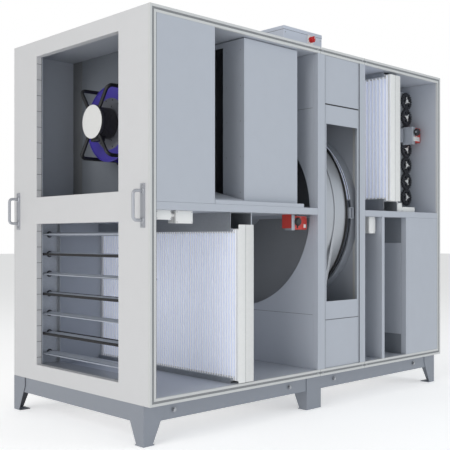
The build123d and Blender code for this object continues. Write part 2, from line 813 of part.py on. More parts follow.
filters = {
    "left": {"x": left_filter_x, "z": left_filter_z, "pleats": left_pleats},
    "right": {"x": right_filter_x, "z": right_filter_z, "pleats": right_pleats},
}
filter_y = (0.5, inner_back - 6.0)


def pleat_points(fold_x, depth, y, count):
    """A zigzag along y: count folds that reach from one x to another."""
    step = (y[1] - y[0]) / count
    points = []
    for fold in range(count):
        points.append((fold_x, y[0] + fold * step))
        points.append((fold_x + depth, y[0] + (fold + 0.5) * step))
    points.append((fold_x, y[1]))
    return points


def make_filters():
    for name, item in filters.items():
        x = item["x"]
        z = item["z"]
        window_y = shrunk(filter_y, cassette)
        window = shrunk(z, cassette)
        with BuildPart() as frame:
            span(x, filter_y, z)
            span(shrunk(x, -1), window_y, window, Mode.SUBTRACT)
        save(frame, f"{name}_filter_frame")
        with BuildPart() as media:
            media_y = shrunk(window_y, play)
            front = pleat_points(x[0] + 2, pleat_height, media_y, item["pleats"])
            back = [(px + 4, py) for px, py in reversed(front)]
            with BuildSketch(Plane.XY.offset(window[0] + play)):
                with BuildLine():
                    Polyline(*front, *back, close=True)
                make_face()
            extrude(amount=window[1] - window[0] - 2 * play)
        save(media, f"{name}_filter_media")


def make_filter_rails():
    """Folded channels that the filters slide in, one below and one above each."""
    seats = {"left": (wall, deck_z[0]), "right": (deck_z[1], inner_top)}
    y = (service_depth, inner_back - play)
    with BuildPart() as rails:
        for name, item in filters.items():
            x = shrunk(item["x"], -filter_rail)
            low, high = item["z"]
            floor, ceiling = seats[name]
            for outside, inside in ((floor + play, low - play), (ceiling - play, high + play)):
                grip = inside + filter_grip if inside < item["z"][1] else inside - filter_grip
                span(x, y, sorted((outside, grip)))
                span(shrunk(item["x"], -play), shrunk(y, -1), sorted((inside, grip)), Mode.SUBTRACT)
                span(shrunk(x, sheet), shrunk(y, -1), web_space(outside, inside), Mode.SUBTRACT)
    save(rails, "filter_rails")


def web_space(outside, inside):
    """The hollow of a filter rail between the sheet that is fixed and the sheet that guides."""
    return shrunk(sorted((outside, inside)), sheet)


def make_partitions():
    """The slim post behind the left filter, and the plates of the lower right bays."""
    post_start = left_filter_x[1] + filter_rail + play
    z = (wall + play, deck_z[0] - play)
    fan_side = casing_length - fan_wall_x - wall
    with BuildPart() as plates:
        span((post_start, post_start + post_size[0]), (service_depth, service_depth + post_size[1]), z)
        span(bay_plate_x, (0.5, 0.5 + sheet), z)
        span((bay_plate_x[0], bay_plate_x[0] + sheet), (0.5, inner_back - play), z)
        span((fan_side - play - 3, fan_side - play), (service_depth, service_depth + 240), hatch_z)
    save(plates, "bay_plates")


# ---- coil and tray ----

def make_coil():
    z = (deck_z[1] + play + tray_lip + play, coil_top)
    with BuildPart() as casing:
        front_y = service_depth + coil_flange
        back_y = inner_back - 4
        span(coil_x, (service_depth, back_y), z)
        span(shrunk(coil_x, sheet), (service_depth + sheet, front_y - sheet), shrunk(z, sheet), Mode.SUBTRACT)
        span(shrunk(coil_x, -1), (front_y, back_y - sheet), shrunk(z, sheet), Mode.SUBTRACT)
        for lip_z in ((z[0], z[0] + coil_lip), (z[1] - coil_lip, z[1])):
            for lip_x in ((coil_x[0], coil_x[0] + sheet), (coil_x[1] - sheet, coil_x[1])):
                span(lip_x, (front_y - 1, back_y), lip_z)
    save(casing, "coil_casing")
    fin_y = (front_y + play, back_y - sheet - play)
    fin_z = shrunk(z, sheet + play)
    fin_x = shrunk(coil_x, coil_inset)
    with BuildPart() as fins:
        count = int((fin_y[1] - fin_y[0]) // fin_pitch)
        first = (fin_y[0] + fin_y[1] - (count - 1) * fin_pitch) / 2
        for fin in range(count):
            y = first + fin * fin_pitch
            span(fin_x, (y - fin_gauge / 2, y + fin_gauge / 2), fin_z)
        for row in range(coil_tubes):
            tube_z = fin_z[0] + (row + 0.5) * (fin_z[1] - fin_z[0]) / coil_tubes
            for tube_x in (fin_x[0] + 60, fin_x[1] - 60):
                rod((tube_x, fin_y[0], tube_z), (tube_x, fin_y[1], tube_z), tube_radius)
    save(fins, "coil_fins")
    with BuildPart() as tray:
        tray_y = (0.5, inner_back - play)
        base = deck_z[1] + play
        span(tray_x, tray_y, (base, base + tray_lip))
        span(shrunk(tray_x, sheet), (tray_y[0] + 30, tray_y[1] - sheet),
             (base + sheet, base + tray_lip + 1), Mode.SUBTRACT)
        for x in (coil_x[0], coil_x[1] - bearer):
            span((x, x + bearer), (tray_y[0] + 29, tray_y[1] - 1), (base, base + tray_lip))
        slope_end = service_depth + tray_slope_length
        rise = tray_slope * (slope_end - service_depth)
        with BuildSketch(Plane.YZ.offset(tray_x[0] + sheet)):
            with BuildLine():
                Polyline((tray_y[0] + 28, base + tray_lip - sheet), (tray_y[0] + 28, base + tray_lip),
                         (service_depth, base + tray_lip + 8), (slope_end, base + tray_lip + 8 + rise),
                         (slope_end, base), (slope_end - sheet, base),
                         (slope_end - sheet, base + tray_lip + 8 + rise - 2 * sheet),
                         (service_depth, base + tray_lip + 8 - 2 * sheet),
                         (tray_y[0] + 28, base + tray_lip - sheet))
            make_face()
        extrude(amount=coil_x[0] - 6 - tray_x[0] - sheet)
    save(tray, "drain_tray")


# ---- controls ----

def make_controls():
    """The control box on the roof with its main switch, and the small boxes inside the bays."""
    roof_y = box_y[0]
    with BuildPart() as box:
        z = (casing_height, casing_height + box_height)
        span(box_x, box_y, z)
        fillet(box.edges().filter_by(Axis.Z), 4)
        span(shrunk(box_x, sheet), shrunk(box_y, sheet), shrunk(z, sheet), Mode.SUBTRACT)
    save(box, "control_box")
    knob_x, knob_up = knob_spot
    knob_z = casing_height + knob_up
    with BuildPart() as plate:
        span((knob_x - plate_side / 2, knob_x + plate_side / 2), (roof_y - plate_gauge, roof_y),
             (knob_z - plate_side / 2, knob_z + plate_side / 2))
        fillet(plate.edges().filter_by(Axis.Y), 4)
        rod((knob_x, roof_y - plate_gauge - knob_depth + 4, knob_z), (knob_x, roof_y, knob_z), 5)
    save(plate, "switch_plate")
    with BuildPart() as knob:
        face = roof_y - plate_gauge - play
        rod((knob_x, face, knob_z), (knob_x, face - 6, knob_z), knob_radius)
        rod((knob_x, face - 6, knob_z), (knob_x, face - knob_depth, knob_z), knob_radius - 3)
        span((knob_x - 4, knob_x + 4), (face - knob_depth - 4, face - 6),
             (knob_z - knob_radius + 1, knob_z + knob_radius - 1))
        rod((knob_x, face + 1, knob_z), (knob_x, face - knob_depth + 3, knob_z),
            5 + running_clearance, Mode.SUBTRACT)
    save(knob, "switch_knob")
    with BuildPart() as sensors:
        under = deck_z[0] - play
        over = deck_z[1] + play
        y = (service_depth, service_depth + 55)
        span((60, 146), y, (under - 40, under))
        span((173, 270), y, (under - 55, under))
        rod((146, service_depth + 20, under - 20), (173, service_depth + 20, under - 20), 8)
        span((1591, 1650), y, (under - 92, under))
        span((1868, 1915), y, (over, over + 52))
        span((1915, 2050), y, (over, over + 30))
    save(sensors, "sensor_boxes")


def make_valve_actuator():
    """A small rotary actuator that hangs under the left deck, with its knob and pointer."""
    under = deck_z[0] - play
    body_x = (985.0, 1082.0)
    body_y = (60.0, 120.0)
    body_z = (under - 76, under - 8)
    knob_x = body_x[0] + 22
    knob_z = (body_z[0] + body_z[1]) / 2 + 6
    with BuildPart() as body:
        span(body_x, body_y, body_z)
        fillet(body.edges().filter_by(Axis.Y), 6)
        span((body_x[0] - 24, body_x[1] - 10), (body_y[1], body_y[1] + 3), (body_z[0] + 6, under))
        span((body_x[0] - 24, body_x[0] - 4), (body_y[0] - 2, body_y[1] + 3), (under - 3, under))
        span((body_x[0] - 24, body_x[0] - 21), (body_y[0] - 2, body_y[1] + 3), (body_z[0] + 6, under))
        rod((knob_x, body_y[0] - 10, knob_z), (knob_x, body_y[0] + 1, knob_z), 5)
    save(body, "valve_actuator")
    with BuildPart() as knob:
        face = body_y[0] - play
        rod((knob_x, face, knob_z), (knob_x, face - 12, knob_z), 15)
        span((knob_x - 3, knob_x + 3), (face - 4, face), (knob_z - 34, knob_z))
        rod((knob_x, face + 1, knob_z), (knob_x, face - 10.5, knob_z), 5 + running_clearance, Mode.SUBTRACT)
    save(knob, "valve_knob")


def main():
    os.makedirs("parts", exist_ok=True)
    make_casing()
    make_front_frame()
    make_duct_liners()
    make_handles()
    make_base()
    make_fan_walls()
    for name, fan in fans.items():
        make_impeller(name, fan)
    make_motors()
    make_fan_covers()
    make_rotor_casing()
    make_rotor_cover()
    make_wheel()
    make_wheel_drive()
    make_dampers()
    make_filters()
    make_filter_rails()
    make_partitions()
    make_coil()
    make_controls()
    make_valve_actuator()


main()
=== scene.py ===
"""Looks of a double-deck heat recovery unit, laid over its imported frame."""

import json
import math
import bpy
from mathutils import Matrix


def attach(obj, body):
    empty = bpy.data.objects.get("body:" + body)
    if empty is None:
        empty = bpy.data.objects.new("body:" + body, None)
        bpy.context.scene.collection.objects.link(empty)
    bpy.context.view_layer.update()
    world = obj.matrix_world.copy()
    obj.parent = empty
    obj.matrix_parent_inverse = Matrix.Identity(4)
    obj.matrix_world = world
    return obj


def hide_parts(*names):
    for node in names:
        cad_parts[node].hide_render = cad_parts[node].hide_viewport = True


bl_info = {
    "name": "Heat recovery unit looks",
    "version": (1, 0, 0),
    "blender": (4, 5, 0),
    "location": "View3D > Sidebar > Heat unit",
    "description": "Finishes, fine pieces and a studio for a heat recovery unit",
    "category": "Object",
}

import bmesh
import bpy
from mathutils import Matrix, Vector

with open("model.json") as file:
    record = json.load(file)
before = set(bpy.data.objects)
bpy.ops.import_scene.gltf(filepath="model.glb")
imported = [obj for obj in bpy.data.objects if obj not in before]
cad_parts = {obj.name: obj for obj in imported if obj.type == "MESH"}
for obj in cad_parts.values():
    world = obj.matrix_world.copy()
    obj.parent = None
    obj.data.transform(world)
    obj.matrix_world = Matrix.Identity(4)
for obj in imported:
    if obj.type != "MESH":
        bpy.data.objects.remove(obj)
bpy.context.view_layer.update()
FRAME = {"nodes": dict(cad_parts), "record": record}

# Lengths are in casing millimetres: x from the left end, y from the service side,
# z from the casing's floor.
LENGTH, DEPTH, HEIGHT, WALL = 2280.0, 1130.0, 1700.0, 34.0
SHIFT = Vector((-1110.0, -565.0, 175.0))
MID_Y, MID_Z = DEPTH / 2, HEIGHT / 2
INNER_BACK = DEPTH - WALL
DECK = (833.0, 867.0)
UPPER, LOWER = 1269.0, 431.0
FAN_BAY = 340.0
OPENING_Y = (222.0, 908.0)
OPENING_HALF = 352.5
JOINTS = (1120.0, 1500.0)
BLADES, BLADE_PITCH, DRIVEN_BLADE = 7, 100.0, 4  # the driven blade is counted from 0 at the bottom
BLADE_AXES = {"lower": 89.0, "upper": LENGTH - 89.0}
SHUT = 0.001  # radius of the end of a turned shape that is closed


def at(x, y, z):
    """A point in casing millimetres as metres in the row frame."""
    return (Vector((x, y, z)) + SHIFT) / 1000


def linear(colour):
    """Linear light of a colour given as 0 to 255 screen values."""
    values = []
    for value in colour:
        share = value / 255
        values.append(share / 12.92 if share <= 0.04045 else ((share + 0.055) / 1.055) ** 2.4)
    return (*values, 1.0)


# ---- finishes ----

# name: colour, roughness, metallic, kind, strength of the kind's pattern
FINISHES = {
    "end_panel_paint": ((208, 208, 209), 0.42, 0.0, "paint", 0.02),
    "inner_paint": ((178, 183, 192), 0.36, 0.0, "paint", 0.03),
    # Painted light: upward faces inside the unit are lighter than the inner paint, as if lit from
    # above.
    "top_lit_paint": ((192, 197, 206), 0.40, 0.0, "paint", 0.06),
    # Painted shade: the inside of the two fan bays is darker than the inner paint, where little
    # light reaches.
    "bay_shade_paint": ((126, 131, 138), 0.45, 0.0, "paint", 0.05),
    "frame_profile": ((204, 205, 204), 0.34, 0.0, "paint", 0.02),
    # Painted shade in the front profile's groove; the same grey colours the edge strips of the fan
    # walls.
    "groove_shade_and_strip_grey": ((120, 122, 124), 0.5, 0.0, "paint", 0.04),
    "seal_rubber": ((38, 38, 40), 0.75, 0.0, "rubber", 0.3),
    "base_paint": ((138, 143, 152), 0.42, 0.0, "paint", 0.03),
    # Painted shade on the inner faces of the feet, under the unit.
    "foot_inside_shade": ((66, 68, 74), 0.6, 0.0, "paint", 0.05),
    "handle_alloy": ((172, 174, 180), 0.36, 0.25, "brushed", 0.05),
    "galvanised": ((168, 172, 178), 0.40, 0.55, "spangle", 0.10),
    "mineral_wool": ((196, 178, 120), 0.95, 0.0, "cloth", 0.3),
    "motor_paint": ((52, 52, 56), 0.5, 0.0, "plastic", 0.05),
    "cap_white": ((222, 222, 220), 0.4, 0.0, "plastic", 0.02),
    "leg_paint": ((26, 26, 29), 0.4, 0.0, "plastic", 0.05),
    "impeller_plastic": ((64, 54, 150), 0.35, 0.0, "plastic", 0.03),
    "hub_steel": ((104, 106, 114), 0.45, 0.4, "spangle", 0.06),
    "wheel_foil": ((150, 152, 154), 0.42, 0.75, "foil", 0.35),
    "rim_steel": ((176, 179, 184), 0.34, 0.35, "brushed", 0.06),
    "dark_steel": ((72, 74, 80), 0.5, 0.2, "paint", 0.05),
    "belt_rubber": ((32, 32, 34), 0.7, 0.0, "rubber", 0.3),
    "blade_alloy": ((176, 182, 192), 0.34, 0.45, "brushed", 0.06),
    "dark_plastic": ((46, 47, 52), 0.5, 0.0, "plastic", 0.05),
    "actuator_red": ((196, 62, 54), 0.42, 0.0, "plastic", 0.03),
    "filter_card": ((232, 232, 230), 0.7, 0.0, "cloth", 0.05),
    "filter_cloth": ((246, 248, 254), 0.85, 0.0, "cloth", 0.06),
    # Painted shade for the deep faces of the filter's folds.
    "pleat_valley_shade": ((222, 227, 240), 0.9, 0.0, "cloth", 0.10),
    "door_seal_grey": ((132, 134, 136), 0.6, 0.0, "rubber", 0.1),
    "cream_card": ((222, 222, 220), 0.7, 0.0, "cloth", 0.05),
    "fin_alloy": ((158, 162, 168), 0.35, 0.8, "brushed", 0.08),
    "copper": ((178, 112, 82), 0.35, 0.9, "brushed", 0.08),
    "box_paint": ((196, 202, 214), 0.40, 0.0, "paint", 0.02),
    "white_plastic": ((232, 232, 230), 0.38, 0.0, "plastic", 0.02),
    "red_plastic": ((200, 34, 34), 0.3, 0.0, "plastic", 0.02),
    "black_plastic": ((34, 34, 36), 0.4, 0.0, "plastic", 0.05),
    "screw_zinc": ((170, 172, 176), 0.32, 0.9, "brushed", 0.05),
    "seam_shadow": ((96, 98, 102), 0.7, 0.0, "paint", 0.05),
}
# Painted light: the filter cloth and its valleys glow with a fixed emission of their own colour,
# standing in for light through the thin cloth.
PAINTED_GLOW = {"filter_cloth": 0.2, "pleat_valley_shade": 0.18}
# kind: scale of its broad pattern (per metre, along x, y and z), scale of its fine grain,
# strength of the grain's relief
KINDS = {
    "paint": ((3, 3, 3), 900, 0.06),
    "brushed": ((6, 220, 220), 600, 0.05),
    "rubber": ((20, 20, 20), 700, 0.25),
    "plastic": ((8, 8, 8), 1400, 0.08),
    "cloth": ((14, 14, 14), 420, 0.35),
    "spangle": ((70, 70, 70), 500, 0.04),
    "foil": ((2, 2, 2), 400, 0.2),
}


GLOSS_SPREAD, GRAIN_HEIGHT = 0.06, 0.0005
FOIL_RINGS = {"Scale": 30, "Distortion": 2.0, "Detail": 3.0}


def feed(node, values):
    """Sets inputs of a node by name."""
    for name, value in values.items():
        node.inputs[name].default_value = value


def spread(tree, source, middle, reach):
    """A pattern's value as a middle value and a reach either way."""
    node = tree.nodes.new("ShaderNodeMapRange")
    feed(node, {"To Min": middle - reach, "To Max": middle + reach})
    tree.links.new(source, node.inputs["Value"])
    return node.outputs["Result"]


def finish(name):
    """The procedural material of one finish, made the first time it is asked for."""
    label = f"look_{name}"
    if label in bpy.data.materials:
        return bpy.data.materials[label]
    colour, roughness, metallic, kind, strength = FINISHES[name]
    broad, fine, depth = KINDS[kind]
    material = bpy.data.materials.new(label)
    material.use_nodes = True
    tree = material.node_tree
    nodes, link = tree.nodes, tree.links.new
    shader = nodes["Principled BSDF"]
    place = nodes.new("ShaderNodeTexCoord")
    stretch = nodes.new("ShaderNodeMapping")
    feed(stretch, {"Scale": broad})
    link(place.outputs["Object"], stretch.inputs["Vector"])
    if kind == "spangle":
        pattern = nodes.new("ShaderNodeTexVoronoi")
        value = nodes.new("ShaderNodeSeparateColor")
        link(pattern.outputs["Color"], value.inputs["Color"])
        out = value.outputs["Red"]
    elif kind == "foil":
        pattern = nodes.new("ShaderNodeTexWave")
        pattern.wave_type = "RINGS"
        pattern.rings_direction = "X"
        feed(pattern, FOIL_RINGS)
        centre = at(0, MID_Y, MID_Z)
        feed(stretch, {"Location": (0, -centre.y * broad[1], -centre.z * broad[2])})
        out = pattern.outputs["Fac"]
    else:
        pattern = nodes.new("ShaderNodeTexNoise")
        feed(pattern, {"Detail": 4})
        out = pattern.outputs["Fac"]
    link(stretch.outputs["Vector"], pattern.inputs["Vector"])
    tint = nodes.new("ShaderNodeVectorMath")
    tint.operation = "SCALE"
    tint.inputs[0].default_value = linear(colour)[:3]
    link(spread(tree, out, 1, strength), tint.inputs["Scale"])
    link(tint.outputs["Vector"], shader.inputs["Base Color"])
    link(spread(tree, out, roughness, GLOSS_SPREAD), shader.inputs["Roughness"])
    grain = nodes.new("ShaderNodeTexNoise")
    feed(grain, {"Scale": fine})
    link(place.outputs["Object"], grain.inputs["Vector"])
    bump = nodes.new("ShaderNodeBump")
    feed(bump, {"Strength": depth, "Distance": GRAIN_HEIGHT})
    link(grain.outputs["Fac"], bump.inputs["Height"])
    link(bump.outputs["Normal"], shader.inputs["Normal"])
    # Painted light: the cloths listed in the glow table emit their own colour.
    feed(shader, {"Metallic": metallic, "Emission Color": linear(colour),
                  "Emission Strength": PAINTED_GLOW.get(name, 0.0)})
    material.diffuse_color = linear(colour)
    return material


# ---- shapes ----

class Shape:
    """Faces of one piece in casing millimetres; each keeps the finish it was made with."""

    def __init__(self, coat):
        self.coat = coat
        self.coats = []
        self.verts = []
        self.faces = []
        self.marks = []
        self.smooth = []

    def add(self, verts, faces, coat=None, smooth=False):
        coat = coat or self.coat
        if coat not in self.coats:
            self.coats.append(coat)
        first = len(self.verts)
        self.verts.extend(verts)
        for face in faces:
            self.faces.append([first + index for index in face])
            self.marks.append(self.coats.index(coat))
            self.smooth.append(smooth)

    def block(self, x, y, z, coat=None, edge=0.8):
        """A box with rounded edges, from its low and high value along each axis."""
        low = Vector((min(x), min(y), min(z)))
        high = Vector((max(x), max(y), max(z)))
        size = high - low
        made = bmesh.new()
        bmesh.ops.create_cube(made, size=1.0)
        bmesh.ops.scale(made, vec=size, verts=made.verts)
        bmesh.ops.translate(made, vec=(low + high) / 2, verts=made.verts)
        edge = min(edge, min(size) * 0.45)
        if edge > 0.05:
            bmesh.ops.bevel(made, geom=made.edges[:], offset=edge, segments=2, profile=0.5,
                            affect="EDGES")
        made.verts.index_update()
        self.add([vert.co.copy() for vert in made.verts],
                 [[vert.index for vert in face.verts] for face in made.faces], coat)
        made.free()

    def lathe(self, origin, axis, profile, coat=None, sides=48, closed=False):
        """Turns (distance along the axis, radius) points round an axis; SHUT closes an end."""
        axis = Vector(axis).normalized()
        across = axis.orthogonal().normalized()
        up = axis.cross(across)
        origin = Vector(origin)
        verts, faces = [], []
        for along, radius in profile:
            for side in range(sides):
                angle = 2 * math.pi * side / sides
                spoke = across * math.cos(angle) + up * math.sin(angle)
                verts.append(origin + axis * along + spoke * radius)
        rings = len(profile)
        for ring in range(rings if closed else rings - 1):
            a, b = ring * sides, ((ring + 1) % rings) * sides
            for side in range(sides):
                after = (side + 1) % sides
                faces.append([a + side, a + after, b + after, b + side])
        self.add(verts, faces, coat, True)

    def rod(self, start, end, radius, coat=None, edge=0.6, sides=32):
        """A round bar with rounded rims between two points."""
        start, end = Vector(start), Vector(end)
        reach = (end - start).length
        edge = min(edge, radius * 0.5, reach * 0.3)
        self.lathe(start, end - start, [
            (0, SHUT), (0, radius - edge), (edge * 0.3, radius - edge * 0.3), (edge, radius),
            (reach - edge, radius), (reach - edge * 0.3, radius - edge * 0.3),
            (reach, radius - edge), (reach, SHUT)], coat, sides)

    def mesh(self, name):
        made = bpy.data.meshes.new(name)
        verts = [(Vector(vert) + SHIFT) / 1000 for vert in self.verts]
        made.from_pydata(verts, [], self.faces)
        for coat in self.coats:
            made.materials.append(finish(coat))
        for polygon, mark, smooth in zip(made.polygons, self.marks, self.smooth):
            polygon.material_index = mark
            polygon.use_smooth = smooth
        checked = bmesh.new()
        checked.from_mesh(made)
        bmesh.ops.remove_doubles(checked, verts=checked.verts, dist=1e-6)
        bmesh.ops.recalc_face_normals(checked, faces=checked.faces)
        checked.to_mesh(made)
        checked.free()
        made.set_sharp_from_angle(angle=math.radians(40))
        return made

    def piece(self, name, body, slot, *replaced):
        return place_piece(name, self.mesh(name), body, slot, *replaced)


def place_piece(name, mesh, body, slot, *replaced):
    """Puts a mesh into the scene as a piece that rides a body, and hides the frame nodes it
    replaces; the slot is not used.
    """
    mesh.name = name
    piece = bpy.data.objects.new(name, mesh)
    bpy.context.scene.collection.objects.link(piece)
    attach(piece, body)
    if replaced:
        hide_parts(*replaced)
    return piece


# ---- rows of like pieces ----

def repeat_tree():
    """Geometry nodes that set a part at every point of a row of rows."""
    name = "Rows of a part"
    if name in bpy.data.node_groups:
        return bpy.data.node_groups[name]
    tree = bpy.data.node_groups.new(name, "GeometryNodeTree")
    tree.is_modifier = True
    new = tree.interface.new_socket
    new("Geometry", in_out="INPUT", socket_type="NodeSocketGeometry")
    for label, kind in (
            ("Part", "Object"), ("Start", "Vector"), ("Count along", "Int"),
            ("Step along", "Vector"), ("Count across", "Int"), ("Step across", "Vector"),
            ("Largest turn", "Vector"), ("Seed", "Int"), ("Finish", "Material")):
        new(label, in_out="INPUT", socket_type=f"NodeSocket{kind}")
    new("Geometry", in_out="OUTPUT", socket_type="NodeSocketGeometry")
    nodes, link = tree.nodes, tree.links.new
    given = nodes.new("NodeGroupInput").outputs
    lines = []
    for way in ("along", "across"):
        line = nodes.new("GeometryNodeMeshLine")
        line.mode = "OFFSET"
        link(given[f"Count {way}"], line.inputs["Count"])
        link(given[f"Step {way}"], line.inputs["Offset"])
        lines.append(line)
    link(given["Start"], lines[0].inputs["Start Location"])
    rows = nodes.new("GeometryNodeInstanceOnPoints")
    link(lines[1].outputs["Mesh"], rows.inputs["Points"])
    link(lines[0].outputs["Mesh"], rows.inputs["Instance"])
    points = nodes.new("GeometryNodeRealizeInstances")
    link(rows.outputs["Instances"], points.inputs["Geometry"])
    part = nodes.new("GeometryNodeObjectInfo")
    link(given["Part"], part.inputs["Object"])
    turn = nodes.new("FunctionNodeRandomValue")
    turn.data_type = "FLOAT_VECTOR"
    flip = nodes.new("ShaderNodeVectorMath")
    flip.operation = "SCALE"
    flip.inputs["Scale"].default_value = -1
    link(given["Largest turn"], flip.inputs[0])
    link(flip.outputs["Vector"], turn.inputs["Min"])
    link(given["Largest turn"], turn.inputs["Max"])
    link(given["Seed"], turn.inputs["Seed"])
    copies = nodes.new("GeometryNodeInstanceOnPoints")
    link(points.outputs["Geometry"], copies.inputs["Points"])
    link(part.outputs["Geometry"], copies.inputs["Instance"])
    link(turn.outputs["Value"], copies.inputs["Rotation"])
    real = nodes.new("GeometryNodeRealizeInstances")
    link(copies.outputs["Instances"], real.inputs["Geometry"])
    coat = nodes.new("GeometryNodeSetMaterial")
    link(real.outputs["Geometry"], coat.inputs["Geometry"])
    link(given["Finish"], coat.inputs["Material"])
    link(coat.outputs["Geometry"], nodes.new("NodeGroupOutput").inputs["Geometry"])
    return tree


def rows(shape, coat, sets, turn=(0, 0, 0), seed=1):
    """One mesh of a part repeated over sets, in millimetres.

    A set is (start, count, step) or (start, count, step, count across, step across).
    """
    tree = repeat_tree()
    part = bpy.data.objects.new("part", shape.mesh("part"))
    part.data.transform(Matrix.Translation(-SHIFT / 1000))
    bpy.context.scene.collection.objects.link(part)
    meshes = []
    for start, count, step, *other in sets:
        across, step_across = other or (1, (0, 0, 0))
        holder = bpy.data.objects.new("holder", bpy.data.meshes.new("holder"))
        bpy.context.scene.collection.objects.link(holder)
        modifier = holder.modifiers.new("Rows", "NODES")
        modifier.node_group = tree
        values = {
            "Part": part, "Start": at(*start), "Count along": count,
            "Step along": Vector(step) / 1000, "Count across": across,
            "Step across": Vector(step_across) / 1000, "Largest turn": Vector(turn),
            "Seed": seed, "Finish": finish(coat)}
        for item in tree.interface.items_tree:
            if item.in_out == "INPUT" and item.name in values:
                modifier[item.identifier] = values[item.name]
        holder.update_tag()
        graph = bpy.context.evaluated_depsgraph_get()
        meshes.append(bpy.data.meshes.new_from_object(holder.evaluated_get(graph),
                                                      depsgraph=graph))
        bpy.data.objects.remove(holder)
    bpy.data.objects.remove(part)
    joined = bmesh.new()
    for mesh in meshes:
        joined.from_mesh(mesh)
    made = bpy.data.meshes.new("rows")
    joined.to_mesh(made)
    joined.free()
    made.materials.append(finish(coat))
    for polygon in made.polygons:
        polygon.material_index = 0
    return made


# ---- finishes of the frame's own nodes ----

def coat_node(name, base, rules=()):
    """Gives a node its finish; a rule is a finish and a test of a face's middle and normal."""
    node = FRAME["nodes"][name]
    mesh = node.data
    mesh.materials.clear()
    mesh.materials.append(finish(base))
    for coat, _ in rules:
        mesh.materials.append(finish(coat))
    for polygon in mesh.polygons:
        middle = polygon.center * 1000 - SHIFT
        polygon.material_index = 0
        for index, (_, test) in enumerate(rules):
            if test(middle, polygon.normal):
                polygon.material_index = index + 1
                break


def soften(name, width):
    """Rounds a node's edges with modifiers, so that they catch light as folded sheet does."""
    node = FRAME["nodes"][name]
    weld = node.modifiers.new("Weld", "WELD")
    weld.merge_threshold = 1e-5
    bevel = node.modifiers.new("Bevel", "BEVEL")
    bevel.width = width
    bevel.segments = 2
    bevel.limit_method = "ANGLE"
    bevel.angle_limit = math.radians(50)
    bevel.use_clamp_overlap = True
    normals = node.modifiers.new("Normals", "WEIGHTED_NORMAL")
    normals.weight = 90


SOFTENED = (
    "left_end_panel", "right_end_panel", "roof_panels", "floor_panels", "middle_decks",
    "fan_covers", "rotor_cover", "rotor_casing", "control_box", "sensor_boxes", "valve_actuator",
    "base_frames", "left_filter_frame", "right_filter_frame", "damper_actuators", "bay_plates",
    "front_profile")


def inside_unit(middle):
    """Whether a point is inside the panels, or on their inner faces."""
    reach = WALL - 1
    return (reach < middle.x < LENGTH - reach and middle.y < INNER_BACK + 2
            and reach < middle.z < HEIGHT - reach)


def in_fan_bay(middle):
    """Whether a point is in the upper left or the lower right bay."""
    return (middle.x < FAN_BAY and middle.z > MID_Z
            or middle.x > LENGTH - FAN_BAY and middle.z < MID_Z)


class HEATUNIT_OT_finishes(bpy.types.Operator):
    """Gives every node of the frame its finish and its rounded edges."""
    bl_idname = "heatunit.finishes"
    bl_label = "Node finishes"

    def execute(self, context):
        slots = {item["node"]: item["material_slot"] for item in FRAME["record"]["subparts"]}
        for name, slot in slots.items():
            coat_node(name, slot)
        coat_node("door_seals", "door_seal_grey")
        coat_node("wheel_seals", "inner_paint")
        coat_node("wheel_axle", "inner_paint")
        coat_node("wheel_belt", "rim_steel")
        # Painted light: upward faces of the inside floor take the lighter paint, as if lit from
        # above.
        inner = [("top_lit_paint", lambda m, n: inside_unit(m) and n.z > 0.9 and m.z < 40),
                 ("inner_paint", lambda m, n: inside_unit(m))]
        upward = [("top_lit_paint", lambda m, n: n.z > 0.9)]
        for name in ("left_end_panel", "right_end_panel", "roof_panels", "floor_panels"):
            coat_node(name, "end_panel_paint", inner)
        # Painted shade on the back panel's inner faces in the fan bays.
        coat_node("back_panels", "end_panel_paint", [
            ("bay_shade_paint", lambda m, n: inside_unit(m) and in_fan_bay(m)),
            ("inner_paint", lambda m, n: inside_unit(m))])
        # Painted light: upward faces of the decks and the drain tray take the same lighter paint.
        coat_node("middle_decks", "inner_paint", upward)
        coat_node("drain_tray", "inner_paint", upward)
        # Painted shade on the front faces set back in the profile's groove.
        coat_node("front_profile", "frame_profile", [
            ("groove_shade_and_strip_grey", lambda m, n: n.y < -0.9 and m.y > 2)])
        # Painted shade on the inner faces of the feet.
        coat_node("feet", "base_paint", [
            ("foot_inside_shade", lambda m, n: n.y > 0.5 and m.y < 200 or n.y < -0.5 and m.y > 900)])
        # Painted shade on the fan walls, except the faces that are galvanised.
        coat_node("fan_walls", "bay_shade_paint", [
            ("galvanised", lambda m, n: 280 < m.x < FAN_BAY - 0.5
             or LENGTH - FAN_BAY + 0.5 < m.x < 2000)])
        coat_node("damper_actuators", "actuator_red", [
            ("galvanised", lambda m, n: m.y > 174
             or all(abs(m.x - axis_x) > 52 for axis_x in BLADE_AXES.values()))])
        for damper, axis_x in BLADE_AXES.items():
            for blade in range(1, BLADES + 1):
                coat_node(f"{damper}_blade_{blade}", "blade_alloy", [
                    ("dark_plastic", lambda m, n: m.y < 191.2 and abs(m.x - axis_x) < 60)])
        for name in SOFTENED:
            soften(name, context.scene.heat_unit.edge_rounding)
        return {"FINISHED"}


# ---- casing and base ----

FRONT, BACK, LEFT, UP = (0, -1, 0), (0, 1, 0), (-1, 0, 0), (0, 0, 1)
SCREW_SPIN = 0.6  # largest turn of a screw about its own axis, in radians
INSET = WALL / 2
FRONT_LINE = (-0.15, 0.4)
JAMB_LINE = (1.9, 2.4)
JAMB_DEPTH = 27
HANDLE_INSET = 47


def about(middle, half):
    """The low and high value of a span, from its middle."""
    return middle - half, middle + half


def wider(span, by):
    """A span with both its ends moved out."""
    return span[0] - by, span[1] + by


def skin(face):
    """A thin span that starts in a face and stands a little proud of it."""
    return face - 0.4, face + 0.2


